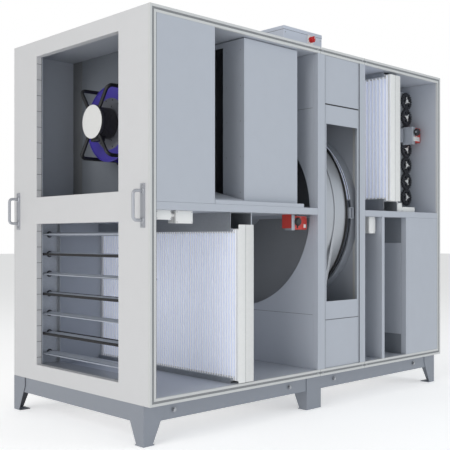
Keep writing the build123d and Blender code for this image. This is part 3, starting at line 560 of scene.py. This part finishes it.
def circle(centre, radius, count, across=(1, 0, 0), start=0.0):
    """Points round a centre, in the plane of an axis and the upright one."""
    points = []
    for turn in range(count):
        angle = 2 * math.pi * (turn + start) / count
        points.append(Vector(centre) + Vector(across) * (radius * math.cos(angle))
                      + Vector((0, 0, radius * math.sin(angle))))
    return points


def screw(axis, radius, proud):
    """A pan head with a hollow in its middle, looking along an axis."""
    head = Shape("screw_zinc")
    head.lathe((0, 0, 0), axis, [
        (-0.2, radius), (proud * 0.5, radius * 0.95), (proud * 0.9, radius * 0.7),
        (proud, radius * 0.38), (proud * 0.55, radius * 0.3), (proud * 0.5, SHUT)], sides=14)
    return head


def screws(name, axis, sets, slot, seed, radius, proud=1.6):
    """Rows of screws that look along an axis, each turned a little about it."""
    turn = [abs(part) * SCREW_SPIN for part in axis]
    mesh = rows(screw(axis, radius, proud), "screw_zinc", sets, turn, seed)
    place_piece(name, mesh, "cabinet", slot)


class HEATUNIT_OT_casing(bpy.types.Operator):
    """Screws, seam lines and jamb dividers of the casing."""
    bl_idname = "heatunit.casing"
    bl_label = "Casing trim"

    def execute(self, context):
        radius = context.scene.heat_unit.screw_radius * 1000
        top_and_bottom = (2, (0, 0, HEIGHT - WALL))
        column = (6, (0, 0, 296), 2)
        screws("front_screws", FRONT, [
            ((joint - 20, 0, INSET), 2, (40, 0, 0), *top_and_bottom) for joint in JOINTS
        ], "galvanised", 1, radius)
        screws("roof_screws", UP, [
            ((60, 40, HEIGHT), 9, (270, 0, 0), 2, (0, DEPTH - 80, 0))], "galvanised", 2, radius)
        screws("back_screws", FRONT, [
            ((joint - 14, INNER_BACK, 70), 6, (0, 0, 310), 2, (28, 0, 0)) for joint in JOINTS
        ], "galvanised", 4, 4.0, 1.2)
        screws("outer_back_screws", BACK, [
            ((52, DEPTH, INSET), 9, (272, 0, 0), *top_and_bottom),
            ((INSET, DEPTH, 110), *column, (LENGTH - WALL, 0, 0)),
            *(((joint - 18, DEPTH, 110), *column, (36, 0, 0)) for joint in JOINTS)
        ], "galvanised", 13, radius)
        lines = Shape("seam_shadow")
        span_x, span_z = (WALL, LENGTH - WALL), (WALL, HEIGHT - WALL)
        for y in (INSET, INNER_BACK):
            lines.block(span_x, about(y, 0.8), skin(HEIGHT), edge=0)
        for z in span_z:
            lines.block(span_x, skin(DEPTH), about(z, 0.8), edge=0)
        for joint in JOINTS:
            for z in ((0, WALL), (HEIGHT - WALL, HEIGHT)):
                lines.block(about(joint, 0.6), FRONT_LINE, z, edge=0)
            lines.block(about(joint, 0.8), (WALL, INNER_BACK), skin(WALL), edge=0)
            lines.block(about(joint, 1), skin(DEPTH), span_z, edge=0)
            lines.block(about(joint, 1), (12, DEPTH), skin(HEIGHT), edge=0)
        for x in ((WALL, WALL + 1.2), (LENGTH - WALL - 1.2, LENGTH - WALL)):
            lines.block(x, FRONT_LINE, span_z, edge=0)
        low, high = OPENING_Y
        for centre in (UPPER, LOWER):
            for y in ((low + JAMB_LINE[0], low + JAMB_LINE[1]),
                      (high - JAMB_LINE[1], high - JAMB_LINE[0])):
                for x in (JAMB_DEPTH, LENGTH - JAMB_DEPTH - 3):
                    lines.block((x, x + 3), y, about(centre, OPENING_HALF - 2), edge=0)
        lines.piece("seam_lines", "cabinet", "seal_rubber")
        rung = Shape("seam_shadow")
        rung.block((0, JAMB_DEPTH), (-0.3, 0.3), (-1.0, 1.0), edge=0)
        sets = [((x, y, centre - 316), 9, (0, 0, 79)) for centre in (UPPER, LOWER)
                for x in (0.5, LENGTH - JAMB_DEPTH - 0.5) for y in (low + 2.1, high - 2.1)]
        place_piece("jamb_dividers", rows(rung, "seam_shadow", sets), "cabinet", "inner_paint")
        return {"FINISHED"}


class HEATUNIT_OT_base(bpy.types.Operator):
    """Bolts of the base's rails, and the screws and collars of the end handles."""
    bl_idname = "heatunit.base"
    bl_label = "Base and handles"

    def execute(self, context):
        bolt = Shape("screw_zinc")
        bolt.lathe((0, 0, 0), FRONT, [(-0.2, 11), (1.6, 11), (1.7, 9.2)], sides=32)
        bolt.lathe((0, 0, 0), FRONT, [(1.5, 8.6), (6.2, 8.6), (7, 7.4), (7, SHUT)], sides=6)
        sets = [((x, 44, -38), 2, (760, 0, 0)) for x in (170, 1290)]
        place_piece("rail_bolts", rows(bolt, "screw_zinc", sets, (0, 0.5, 0), 5),
                    "cabinet", "base_paint")
        screws("handle_screws", LEFT, [
            ((-4, HANDLE_INSET, MID_Z - 84), 2, (0, 0, 168), 2, (0, DEPTH - 2 * HANDLE_INSET, 0))
        ], "handle_alloy", 6, 5.5, 2.2)
        collars = Shape("handle_alloy")
        for y in (HANDLE_INSET, DEPTH - HANDLE_INSET):
            for z in about(MID_Z, 62.5):
                collars.lathe((-4, y, z), LEFT,
                              [(-0.5, 13.5), (2.2, 13.5), (4.5, 11.5), (5.5, 8.8)], sides=32)
        collars.piece("handle_collars", "cabinet", "handle_alloy")
        return {"FINISHED"}


# ---- fans ----

MOTOR_RIBS, RIB_PITCH = 9, 8.6
HUB_SCREWS = ((116, 14), (84, 7))  # radius and count of each ring
CONE_SCREWS, CONE_SCREW_RADIUS = 12, 174
LEG_LEAN, FOOT_RADIUS = (111, 163), 200
FRONT_STRIP, BACK_STRIP = (36, 80), (1011, 1094)


class HEATUNIT_OT_fans(bpy.types.Operator):
    """Caps, ribbed motors, hub plates, cone screws and wall strips of both plug fans."""
    bl_idname = "heatunit.fans"
    bl_label = "Fans"

    def execute(self, context):
        for name, end, way, z in (("upper", 0, 1, UPPER), ("lower", LENGTH, -1, LOWER)):
            axis, inward = (way, 0, 0), (-way, 0, 0)
            origin = Vector((end, MID_Y, z))
            motor = Shape("motor_paint")
            profile = [(111.5, 60), (111.5, 71)]
            for rib in range(MOTOR_RIBS):
                start = 114 + rib * RIB_PITCH
                profile += [(start, 72.2), (start + 0.8, 75.5), (start + 4, 75.5),
                            (start + 4.8, 72.2)]
            profile += [(193.5, 71), (194.2, 66), (194.2, 30)]
            motor.lathe(origin, axis, profile, sides=64)
            motor.lathe(origin, axis, [(112.2, 60), (112.2, 81.4), (108, 81.8), (99, 81.8),
                                       (96.6, 80.5)], sides=64)
            motor.lathe(origin, axis, [(96.6, 80.5), (95.8, 77), (95.6, 74), (95.6, SHUT)],
                        "cap_white", 64)
            motor.block((end + 112 * way, end + 150 * way), about(MID_Y, 34), (z - 92, z - 70),
                        "leg_paint", 3)
            motor.piece(f"{name}_motor_dress", "cabinet", "motor_paint")
            hub = Shape("hub_steel")
            hub.lathe(origin, axis, [(199.9, 60), (197.6, 60), (197.4, 62), (197.4, 108),
                                     (198.6, 124), (199.9, 126)], sides=72)
            plate = origin + Vector((198.2 * way, 0, 0))
            for radius, count in HUB_SCREWS:
                for spot in circle(plate, radius, count, (0, 1, 0)):
                    hub.lathe(spot, inward, [(-0.5, 4.2), (1.2, 3.8), (2.0, 2.0), (2.1, SHUT)],
                              "dark_plastic", 14)
            hub.lathe(origin, axis, [(199.8, 185), (196.5, 186.2), (196, 185.6), (196, 183),
                                     (199.8, 181)], "impeller_plastic", 96, True)
            hub.piece(f"{name}_hub_plate", f"{name}_impeller", "impeller_plastic")
            cone = Shape("screw_zinc")
            mouth = origin + Vector((337.7 * way, 0, 0))
            for spot in circle(mouth, CONE_SCREW_RADIUS, CONE_SCREWS, (0, 1, 0), 0.5):
                cone.lathe(spot, inward, [(-0.2, 5), (1.0, 4.8), (1.8, 3), (1.9, SHUT)], sides=14)
            for side_y in (-1, 1):
                for side_z in (-1, 1):
                    lean = Vector((0, side_y * LEG_LEAN[0], side_z * LEG_LEAN[1]))
                    foot = origin + lean.normalized() * FOOT_RADIUS + Vector((337.8 * way, 0, 0))
                    cone.lathe(foot, inward, [(-0.2, 21), (2.4, 21), (3.2, 20), (3.4, 10)],
                               "leg_paint", 32)
            cone.piece(f"{name}_cone_screws", "cabinet", "galvanised")
            trim = Shape("groove_shade_and_strip_grey")
            bay = (DECK[1], HEIGHT - WALL) if name == "upper" else (WALL, DECK[0])
            bay = wider(bay, -1)
            wall_x = end + FAN_BAY * way
            for y in (BACK_STRIP, FRONT_STRIP):
                trim.block((wall_x - 1.6 * way, wall_x), y, bay, edge=0.4)
            for share in (0.33, 0.66):
                height = bay[0] + (bay[1] - bay[0]) * share
                trim.block((wall_x - 0.3 * way, wall_x), (FRONT_STRIP[1], BACK_STRIP[0]),
                           about(height, 0.8), "seam_shadow", 0)
            trim.piece(f"{name}_wall_strips", "cabinet", "galvanised")
        return {"FINISHED"}


# ---- heat wheel ----

WHEEL_X = 1300
FOIL_RADII = (62.0, 514)
COVER_X = (1162, 1452)


class HEATUNIT_OT_wheel(bpy.types.Operator):
    """Wound foil faces, rim seal, brush lips and the seams of the wheel's casing."""
    bl_idname = "heatunit.wheel"
    bl_label = "Heat wheel"

    def execute(self, context):
        centre = Vector((WHEEL_X, MID_Y, MID_Z))
        axis = (1, 0, 0)
        step = context.scene.heat_unit.foil_pitch * 1000
        foil = Shape("wheel_foil")
        for side in (-1, 1):
            profile = []
            radius = FOIL_RADII[0]
            while radius < FOIL_RADII[1]:
                profile += [(side * 100.2, radius), (side * 99.0, radius + step / 2)]
                radius += step
            foil.lathe(centre, axis, profile, sides=96)
        foil.piece("wheel_foil_faces", "heat_wheel", "wheel_foil")
        rim = Shape("seal_rubber")
        rim.lathe(centre, axis, [(88, 520.2), (88, 528), (90, 530.5), (94, 530.5), (96, 528),
                                 (96, 520.2)], sides=160)
        rim.piece("wheel_rim_trim", "heat_wheel", "rim_steel")
        marks = Shape("seam_shadow")
        for z in (316, 1387):
            for x in ((1099.6, 1100.2), (1505.8, 1506.4)):
                marks.block(x, (36, INNER_BACK - 2), about(z, 0.9), edge=0)
        for x in (1158.4, 1455.6):
            marks.block(about(x, 0.7), (-0.1, 3), (36, HEIGHT - 36), edge=0)
        marks.block(COVER_X, (5.6, 6.6), (1408.5, 1415.5), "seal_rubber", 0)
        marks.block(COVER_X, (5.8, 6.6), (284.8, 287.2), edge=0)
        marks.block((1503.2, 1504.2), (69, 83), (340, 1360), "frame_profile", 0.2)
        marks.piece("rotor_seams", "cabinet", "seal_rubber")
        brush = Shape("seal_rubber")
        for x in (-139, 137):
            brush.lathe(centre, axis, [(x, 508.5), (x, 511.5), (x + 2, 511.5), (x + 2, 508.5)],
                        sides=128, closed=True)
        brush.piece("wheel_brush_lips", "cabinet", "seal_rubber")
        return {"FINISHED"}


# ---- dampers ----

def blade_trim(name, index, axis_x, height):
    """Edge seals, ribs, gear hub and spokes of one blade; the driven one has the clamp instead."""
    louvre = Shape("seal_rubber")
    thick, coat = (6.0, "seal_rubber") if index % 2 else (2.6, "blade_alloy")
    for edge in (-1, 1):
        louvre.block((axis_x + edge * 38, axis_x + edge * 49), (200.5, 929.5),
                     about(height, thick), coat, 1.6)
    for rib in (-24, 24):
        louvre.block(about(axis_x + rib, 1), (201, 929), about(height, 5), "blade_alloy", 0.6)
    if index != DRIVEN_BLADE:
        louvre.lathe((axis_x, 181, height), FRONT, [(-0.5, 11), (2.5, 11), (3.5, 9), (4.5, 8),
                     (4.5, SHUT)], "white_plastic", 24)
        hub = Vector((axis_x, 180.4, height))
        for spoke in range(3):
            angle = 2 * math.pi * spoke / 3 + index
            tip = hub + Vector((26 * math.cos(angle), 0, 26 * math.sin(angle)))
            louvre.rod(hub, tip, 2.6, "white_plastic", 0.8, 10)
    louvre.lathe((axis_x, 181, height), FRONT, [(-0.3, 44), (0.9, 43), (0.9, 37), (-0.3, 36)],
                 "dark_plastic", 48)
    number = index + 1
    louvre.piece(f"{name}_louvre_trim_{number}", f"{name}_louvre_{number}", "blade_alloy")


def actuator_trim(name, axis_x, way, drive):
    """Rounded housing, label, bracket, screws and scale of one actuator, and its spindle clamp."""
    body_x = sorted((axis_x - 49 * way, axis_x + 39 * way))
    body_z = (drive - 62, drive + 26)
    left, low = body_x[0], body_z[0]
    bracket_z = (low - 16, body_z[1] + 6)
    unit = Shape("actuator_red")
    unit.block(wider(body_x, 1), (116.5, 150), wider(body_z, 1), edge=5)
    unit.block(wider(body_x, 0.4), (150, 177), wider(body_z, 0.4), edge=3)
    unit.block(wider(body_x, 0.2), (148.8, 151.2), wider(body_z, 0.2), "dark_plastic", 0.4)
    unit.block(wider(body_x, -10), (115.2, 117), (low + 8, low + 34), "cap_white", 0.6)
    unit.block((left - 2, left + 30), (115.9, 117.2), bracket_z, "galvanised", 0.5)
    unit.block((left - 4, left - 1.4), (116, 186), bracket_z, "galvanised", 0.5)
    for line in range(5):
        start = left + 16 + line * 12
        unit.block((start, start + 6), (114.8, 115.4), (low + 16, low + 17.4), "seam_shadow", 0)
    for corner_x in wider(body_x, -7):
        for corner_z in wider(body_z, -7):
            if abs(corner_x - axis_x) > 30 or corner_z < drive - 20:
                unit.lathe((corner_x, 116.5, corner_z), FRONT,
                           [(-0.3, 4), (0.8, 3.8), (0.3, 2), (0.3, SHUT)], "screw_zinc", 14)
    for mark in range(13):
        angle = math.pi * (mark - 6) / 24 - math.pi / 2
        spot = Vector((axis_x + 33 * math.cos(angle), 116.2, drive + 33 * math.sin(angle)))
        unit.rod(spot, spot + Vector((0, -0.5, 0)), 0.9, "cap_white", 0.1, 8)
    unit.piece(f"{name}_actuator_dress", "cabinet", "actuator_red")
    clamp = Shape("black_plastic")
    clamp.lathe((axis_x, 117, drive), FRONT, [(1, 22), (12, 22), (14, 20), (17, 19), (17, 6.2)],
                sides=40)
    clamp.block(about(axis_x, 30), (102, 106), about(drive, 4), "screw_zinc", 1)
    for bolt_x in about(axis_x, 24):
        clamp.lathe((bolt_x, 102, drive), FRONT, [(-3, 6.4), (4, 6.4), (4.6, 5.6), (4.6, SHUT)],
                    "screw_zinc", 6)
    clamp.block(about(axis_x, 2.5), (112.5, 114.5), (drive - 36, drive - 18), "cap_white", 0.8)
    clamp.piece(f"{name}_clamp", f"{name}_louvre_{DRIVEN_BLADE + 1}", "actuator_red")


class HEATUNIT_OT_dampers(bpy.types.Operator):
    """Edge seals, gear hubs and bearings of the louvres, and the dress of both actuators."""
    bl_idname = "heatunit.dampers"
    bl_label = "Dampers"

    def execute(self, context):
        for name, way, middle in (("lower", 1, LOWER), ("upper", -1, UPPER)):
            axis_x = BLADE_AXES[name]
            bearings = Shape("dark_plastic")
            for index in range(BLADES):
                height = middle + (index - BLADES // 2) * BLADE_PITCH
                blade_trim(name, index, axis_x, height)
                bearings.lathe((axis_x, 932.2, height), FRONT,
                               [(-0.3, 17), (1.4, 16), (1.9, 13), (1.9, 6.3)], sides=28)
                bearings.lathe((axis_x, 198.0, height), BACK,
                               [(-0.3, 14), (1.4, 13), (1.4, 6.3)], sides=28)
            bearings.piece(f"{name}_blade_bearings", "cabinet", "galvanised")
            drive = middle + (DRIVEN_BLADE - BLADES // 2) * BLADE_PITCH
            actuator_trim(name, axis_x, way, drive)
        column = (8, (0, 0, 98), 2, (80, 0, 0))
        screws("damper_rivets", FRONT, [((50, 195, 85), *column), ((2152, 195, 923), *column)],
               "galvanised", 9, 3.6, 1.2)
        return {"FINISHED"}


# ---- filters ----

# share of a fold's width, share of its depth
FOLD = ((0.0, 0.0), (0.16, 0.0), (0.24, 0.05), (0.42, 0.96), (0.5, 1.0), (0.58, 0.96),
        (0.76, 0.05), (0.84, 0.0))
CLOTH_LAYERS = 9
CLOTH_Y = (1.5, 1088.5)
CLOTH_DEPTH = 42


def pleats(shape, x, depth, y, z, count):
    """A folded sheet of cloth with soft folds and painted shade in its valleys, in front of a flat
    backing.
    """
    step = (y[1] - y[0]) / count
    outline = []
    for fold in range(count):
        for share, reach in FOLD:
            sway = math.sin(fold * 2.3) * 0.5 * math.sin(math.pi * share)
            outline.append((x + depth * reach, y[0] + (fold + share) * step + sway))
    outline.append((x, y[1]))
    verts, faces, valleys = [], [], []
    for layer in range(CLOTH_LAYERS):
        height = z[0] + (z[1] - z[0]) * layer / (CLOTH_LAYERS - 1)
        for index, (px, py) in enumerate(outline):
            verts.append((px + math.sin(layer * 1.7 + index * 0.35) * 0.35, py, height))
    row = len(outline)
    for layer in range(CLOTH_LAYERS - 1):
        for index in range(row - 1):
            a = layer * row + index
            # Faces deep in each fold take painted shade.
            deep = 1 <= index % len(FOLD) <= 6
            (valleys if deep else faces).append([a, a + 1, a + row + 1, a + row])
    shape.add(verts, faces, smooth=True)
    shape.add(verts, valleys, "pleat_valley_shade", True)
    shape.block((x + depth + 1, x + depth + 2), y, z, edge=0)


class HEATUNIT_OT_filters(bpy.types.Operator):
    """Pleated cloth and card edges of the two pull-out filters."""
    bl_idname = "heatunit.filters"
    bl_label = "Filters"

    def execute(self, context):
        looks = context.scene.heat_unit
        for side, x, cloth_z, card_z, count in (
                ("left", (523, 625), (49, 752), (35.5, 776), looks.left_pleats),
                ("right", (1749, 1846), (929, 1647), (926, 1650), looks.right_pleats)):
            cloth = Shape("filter_cloth")
            pleats(cloth, x[0] - 1.5, CLOTH_DEPTH, CLOTH_Y, cloth_z, count)
            cloth.piece(f"{side}_pleats", f"{side}_filter", "filter_cloth", f"{side}_filter_media")
            card = Shape("filter_card")
            half = (x[0] + x[1]) / 2
            card.block((x[0] + 1, half - 4), (0.1, 1.2), wider(card_z, -1), edge=0.4)
            card.block((half - 3.4, x[1] - 1), (0.1, 1.2), wider(card_z, -1), "cream_card", 0.4)
            card.block((half - 4.4, half - 3), (0.0, 0.6), card_z, "seam_shadow", 0)
            card.piece(f"{side}_card_edges", f"{side}_filter", "filter_card")
        return {"FINISHED"}


# ---- coil ----

COIL_Y, FIN_Z, TUBE_Z = (181.0, 1089.0), (890.0, 1659.5), (887.3, 1659.7)
TUBE_ROWS = 8


class HEATUNIT_OT_coil(bpy.types.Operator):
    """Dense fins and copper tubes of the heating coil, and the screws of its casing."""
    bl_idname = "heatunit.coil"
    bl_label = "Heating coil"

    def execute(self, context):
        pitch = context.scene.heat_unit.fin_pitch * 1000
        fin = Shape("fin_alloy")
        fin.block((666, 908), (-0.25, 0.25), FIN_Z, edge=0)
        count = int((COIL_Y[1] - COIL_Y[0]) / pitch)
        sets = [((0, COIL_Y[0] + 1, 0), count, (0, pitch, 0))]
        mesh = rows(fin, "fin_alloy", sets, (0, 0, 0.0015), 10)
        place_piece("coil_fin_pack", mesh, "cabinet", "fin_alloy", "coil_fins")
        tubes = Shape("copper")
        for row in range(TUBE_ROWS):
            height = TUBE_Z[0] + (row + 0.5) * (TUBE_Z[1] - TUBE_Z[0]) / TUBE_ROWS
            for x in (726, 848):
                tubes.rod((x, COIL_Y[0], height), (x, COIL_Y[1], height), 8, edge=0.5, sides=20)
        tubes.piece("coil_tubes", "cabinet", "fin_alloy")
        screws("coil_side_rivets", LEFT, [((596, 60, 930), 5, (0, 0, 170), 2, (0, 95, 0))],
               "inner_paint", 12, 3.5, 1.1)
        return {"FINISHED"}


# ---- controls ----

SWITCH, VALVE = (1217, 1778), (1007, 796.7)
# x, y and z of each small white box
SENSOR_BOXES = (
    ((59, 147), (34.4, 50), (791.5, 832.4)), ((172, 271), (34.4, 50), (776.5, 832.4)),
    ((1590, 1651), (34.4, 50), (739.5, 832.4)), ((1867, 1916), (34.4, 50), (867.6, 919.5)),
    ((1915, 2051), (34.4, 48), (867.6, 897.5)))


def grip_ridges(shape, middle, radius, count, y, reach, thick):
    """Ridges round a knob that looks to the front."""
    for spot in circle((middle[0], y, middle[1]), radius, count):
        shape.rod(spot, spot + Vector((0, -reach, 0)), thick, edge=0.2, sides=8)


class HEATUNIT_OT_controls(bpy.types.Operator):
    """Lid, glands and switch marks of the control box, and the trim of the small boxes."""
    bl_idname = "heatunit.controls"
    bl_label = "Controls"

    def execute(self, context):
        box = Shape("box_paint")
        box.block((1004.2, 1315.8), (149.2, 350.8), (1802, 1821), edge=2.5)
        box.block((1004.6, 1315.4), (149.6, 350.4), (1800.6, 1802.2), "seam_shadow", 0)
        for x in (1018, 1302):
            for z in (1714, 1788):
                box.lathe((x, 150, z), FRONT, [(-0.3, 4), (1, 3.8), (1.5, 2.4), (1.5, SHUT)],
                          "screw_zinc", 16)
        for y, sides in ((200, 24), (250, 6), (300, 24)):
            box.lathe((1005, y, 1735), LEFT, [(-0.5, 13), (4, 13), (4.6, 12), (10, 11), (12, 8),
                      (12, SHUT)], "dark_plastic", sides)
        box.piece("control_box_trim", "cabinet", "box_paint")
        marks = Shape("black_plastic")
        marks.block((1216.4, 1217.6), (145.6, 146.1), (1797.5, 1800), edge=0)
        marks.lathe((1197.5, 146.0, SWITCH[1]), FRONT, [(0, 1.0), (0.3, 1.0), (0.3, 1.8), (0, 1.8)],
                    sides=20)
        for x in (1198.5, 1235.5):
            for z in about(SWITCH[1], 18.5):
                marks.lathe((x, 146, z), FRONT, [(-0.2, 2.2), (0.5, 2), (0.2, 1.2), (0.2, SHUT)],
                            "screw_zinc", 12)
        marks.piece("switch_marks", "cabinet", "white_plastic")
        grip = Shape("red_plastic")
        grip_ridges(grip, SWITCH, 12.8, 20, 139, 14, 0.9)
        grip.block((1216.2, 1217.8), (118.9, 120), (1779, 1791), "cap_white", 0.2)
        grip.piece("switch_grip", "main_switch", "red_plastic")
        boxes = Shape("white_plastic")
        for x, y, z in SENSOR_BOXES:
            boxes.block(x, y, z, edge=3)
            boxes.block(wider(x, -0.6), (50, 51.2), (z[0] + 0.6, z[1]), "seam_shadow", 0)
            for corner_x in wider(x, -6):
                for corner_z in wider(z, -6):
                    boxes.lathe((corner_x, y[0], corner_z), FRONT,
                                [(-0.2, 2.6), (0.5, 2.4), (0.1, 1.3), (0.1, SHUT)],
                                "screw_zinc", 12)
        boxes.piece("sensor_box_lids", "cabinet", "white_plastic")
        valve = Shape("actuator_red")
        valve.block((984.6, 1082.4), (59.5, 84), (756.3, 825), edge=5)
        valve.block((985.5, 1081.5), (84, 85.2), (757, 824.4), "dark_plastic", 0)
        valve.block((982.4, 984.8), (57, 122), (752, 832), "galvanised", 0.5)
        valve.block((961, 984), (57.2, 60), (752, 832), "galvanised", 0.5)
        valve.block((1056, 1074), (58.9, 60), (766, 784), "white_plastic", 0.8)
        for x in (1034, 1075):
            valve.lathe((x, 59.6, 818), FRONT, [(-0.2, 3), (0.7, 2.8), (0.3, 1.5), (0.3, SHUT)],
                        "screw_zinc", 12)
        valve.piece("valve_actuator_dress", "cabinet", "actuator_red")
        pointer = Shape("black_plastic")
        pointer.lathe((VALVE[0], 57.5, VALVE[1]), FRONT, [
            (0, 22), (5, 22), (7, 20), (9, 19), (11.5, 17), (11.5, SHUT)], sides=40)
        grip_ridges(pointer, VALVE, 14.8, 16, 58.4, 10, 1.1)
        pointer.block((1005.8, 1008.2), (47.2, 48.2), (797.5, 809), "cap_white", 0.3)
        pointer.piece("valve_knob_grip", "valve_pointer", "black_plastic")
        return {"FINISHED"}


# ---- studio ----

FLOOR_HALF = 40
# name, place, size, share of the key's power, colour
LAMPS = (
    ("key", (-6.6, -1.4, 3.4), 4.0, 1.0, (1.0, 0.99, 0.98)),
    ("fill", (4.0, -6.0, 3.0), 5.0, 0.62, (0.84, 0.92, 1.0)),
    ("low", (-2.5, -6.5, 0.9), 3.5, 0.34, (0.84, 0.92, 1.0)),
    ("top", (0.5, 0.5, 6.0), 5.0, 0.4, (1.0, 0.99, 0.98)))
LAMP_AIM = (0, 0, 0.9)
CAMERA_PLACE, CAMERA_TURN = (-3.1987, -3.1877, 0.8832), (90, 0, -43.91)
CAMERA_LENS, CAMERA_SENSOR, CAMERA_SHIFT = 63.78, 36, 0.031


class HEATUNIT_OT_stage(bpy.types.Operator):
    """Pale floor, soft lamps, an even sky and the camera."""
    bl_idname = "heatunit.stage"
    bl_label = "Studio"

    def execute(self, context):
        looks = context.scene.heat_unit
        scene = context.scene
        ground = bpy.data.meshes.new("floor")
        half = FLOOR_HALF
        corners = [(-half, -half, 0), (half, -half, 0), (half, half, 0), (-half, half, 0)]
        ground.from_pydata(corners, [], [(0, 1, 2, 3)])
        floor = bpy.data.objects.new("floor", ground)
        scene.collection.objects.link(floor)
        pale = bpy.data.materials.new("studio_floor")
        pale.use_nodes = True
        feed(pale.node_tree.nodes["Principled BSDF"], {
            "Base Color": (0.94, 0.94, 0.94, 1), "Roughness": 0.85, "Specular IOR Level": 0.1,
            "Emission Color": (1, 1, 1, 1), "Emission Strength": 0.40})
        ground.materials.append(pale)
        for name, spot, size, share, colour in LAMPS:
            light = bpy.data.lights.new(name, "AREA")
            light.size = size
            light.energy = looks.key_power * share
            light.color = colour
            lamp = bpy.data.objects.new(name, light)
            lamp.location = spot
            aim = Vector(LAMP_AIM) - Vector(spot)
            lamp.rotation_euler = aim.to_track_quat("-Z", "Y").to_euler()
            scene.collection.objects.link(lamp)
        world = bpy.data.worlds.new("sky")
        scene.world = world
        world.use_nodes = True
        nodes, link = world.node_tree.nodes, world.node_tree.links.new
        seen = nodes["Background"]
        feed(seen, {"Color": (1, 1, 1, 1)})
        lit = nodes.new("ShaderNodeBackground")
        feed(lit, {"Color": (0.97, 0.99, 1, 1), "Strength": looks.sky_strength})
        path = nodes.new("ShaderNodeLightPath")
        mix = nodes.new("ShaderNodeMixShader")
        link(path.outputs["Is Camera Ray"], mix.inputs["Fac"])
        link(lit.outputs["Background"], mix.inputs[1])
        link(seen.outputs["Background"], mix.inputs[2])
        link(mix.outputs["Shader"], nodes["World Output"].inputs["Surface"])
        camera = bpy.data.objects.new("camera", bpy.data.cameras.new("camera"))
        camera.data.lens = CAMERA_LENS
        camera.data.sensor_width = CAMERA_SENSOR
        camera.data.shift_y = CAMERA_SHIFT
        camera.location = CAMERA_PLACE
        camera.rotation_euler = [math.radians(angle) for angle in CAMERA_TURN]
        scene.collection.objects.link(camera)
        scene.camera = camera
        scene.view_settings.view_transform = "Standard"
        return {"FINISHED"}


# ---- the add-on ----

class HeatUnitLooks(bpy.types.PropertyGroup):
    """Sizes and light that a user would change."""
    edge_rounding: bpy.props.FloatProperty(
        name="Edge rounding", description="How far the folded edges are rounded",
        default=0.0012, min=0.0002, max=0.004, subtype="DISTANCE", unit="LENGTH")
    screw_radius: bpy.props.FloatProperty(
        name="Screw radius", description="Radius of the casing's screw heads",
        default=0.005, min=0.002, max=0.008, subtype="DISTANCE", unit="LENGTH")
    left_pleats: bpy.props.IntProperty(
        name="Left pleats", description="Folds of the lower left filter",
        default=62, min=20, max=140)
    right_pleats: bpy.props.IntProperty(
        name="Right pleats", description="Folds of the upper right filter",
        default=44, min=20, max=140)
    fin_pitch: bpy.props.FloatProperty(
        name="Fin pitch", description="Distance from fin to fin in the coil",
        default=0.005, min=0.002, max=0.02, subtype="DISTANCE", unit="LENGTH")
    foil_pitch: bpy.props.FloatProperty(
        name="Foil pitch", description="Distance from turn to turn of the wheel's foil",
        default=0.004, min=0.002, max=0.02, subtype="DISTANCE", unit="LENGTH")
    key_power: bpy.props.FloatProperty(
        name="Key lamp", description="Power of the main soft lamp",
        default=152.0, min=0.0, max=1000.0, subtype="POWER")
    sky_strength: bpy.props.FloatProperty(
        name="Sky", description="Strength of the even light from all round",
        default=0.36, min=0.0, max=3.0)


OPERATORS = (
    HEATUNIT_OT_finishes, HEATUNIT_OT_casing, HEATUNIT_OT_base, HEATUNIT_OT_fans,
    HEATUNIT_OT_wheel, HEATUNIT_OT_dampers, HEATUNIT_OT_filters, HEATUNIT_OT_coil,
    HEATUNIT_OT_controls, HEATUNIT_OT_stage)


class HEATUNIT_PT_panel(bpy.types.Panel):
    """Lists the unit's values and operators in the sidebar."""
    bl_idname = "HEATUNIT_PT_panel"
    bl_label = "Heat recovery unit"
    bl_space_type = "VIEW_3D"
    bl_region_type = "UI"
    bl_category = "Heat unit"

    def draw(self, context):
        looks = context.scene.heat_unit
        for name in HeatUnitLooks.__annotations__:
            self.layout.prop(looks, name)
        for operator in OPERATORS:
            self.layout.operator(operator.bl_idname)


CLASSES = (HeatUnitLooks, *OPERATORS, HEATUNIT_PT_panel)


def register():
    for item in CLASSES:
        bpy.utils.register_class(item)
    bpy.types.Scene.heat_unit = bpy.props.PointerProperty(type=HeatUnitLooks)


def unregister():
    del bpy.types.Scene.heat_unit
    for item in reversed(CLASSES):
        bpy.utils.unregister_class(item)


def main():
    register()
    for operator in OPERATORS:
        group, name = operator.bl_idname.split(".")
        getattr(getattr(bpy.ops, group), name)()


if __name__ == "__main__":
    main()
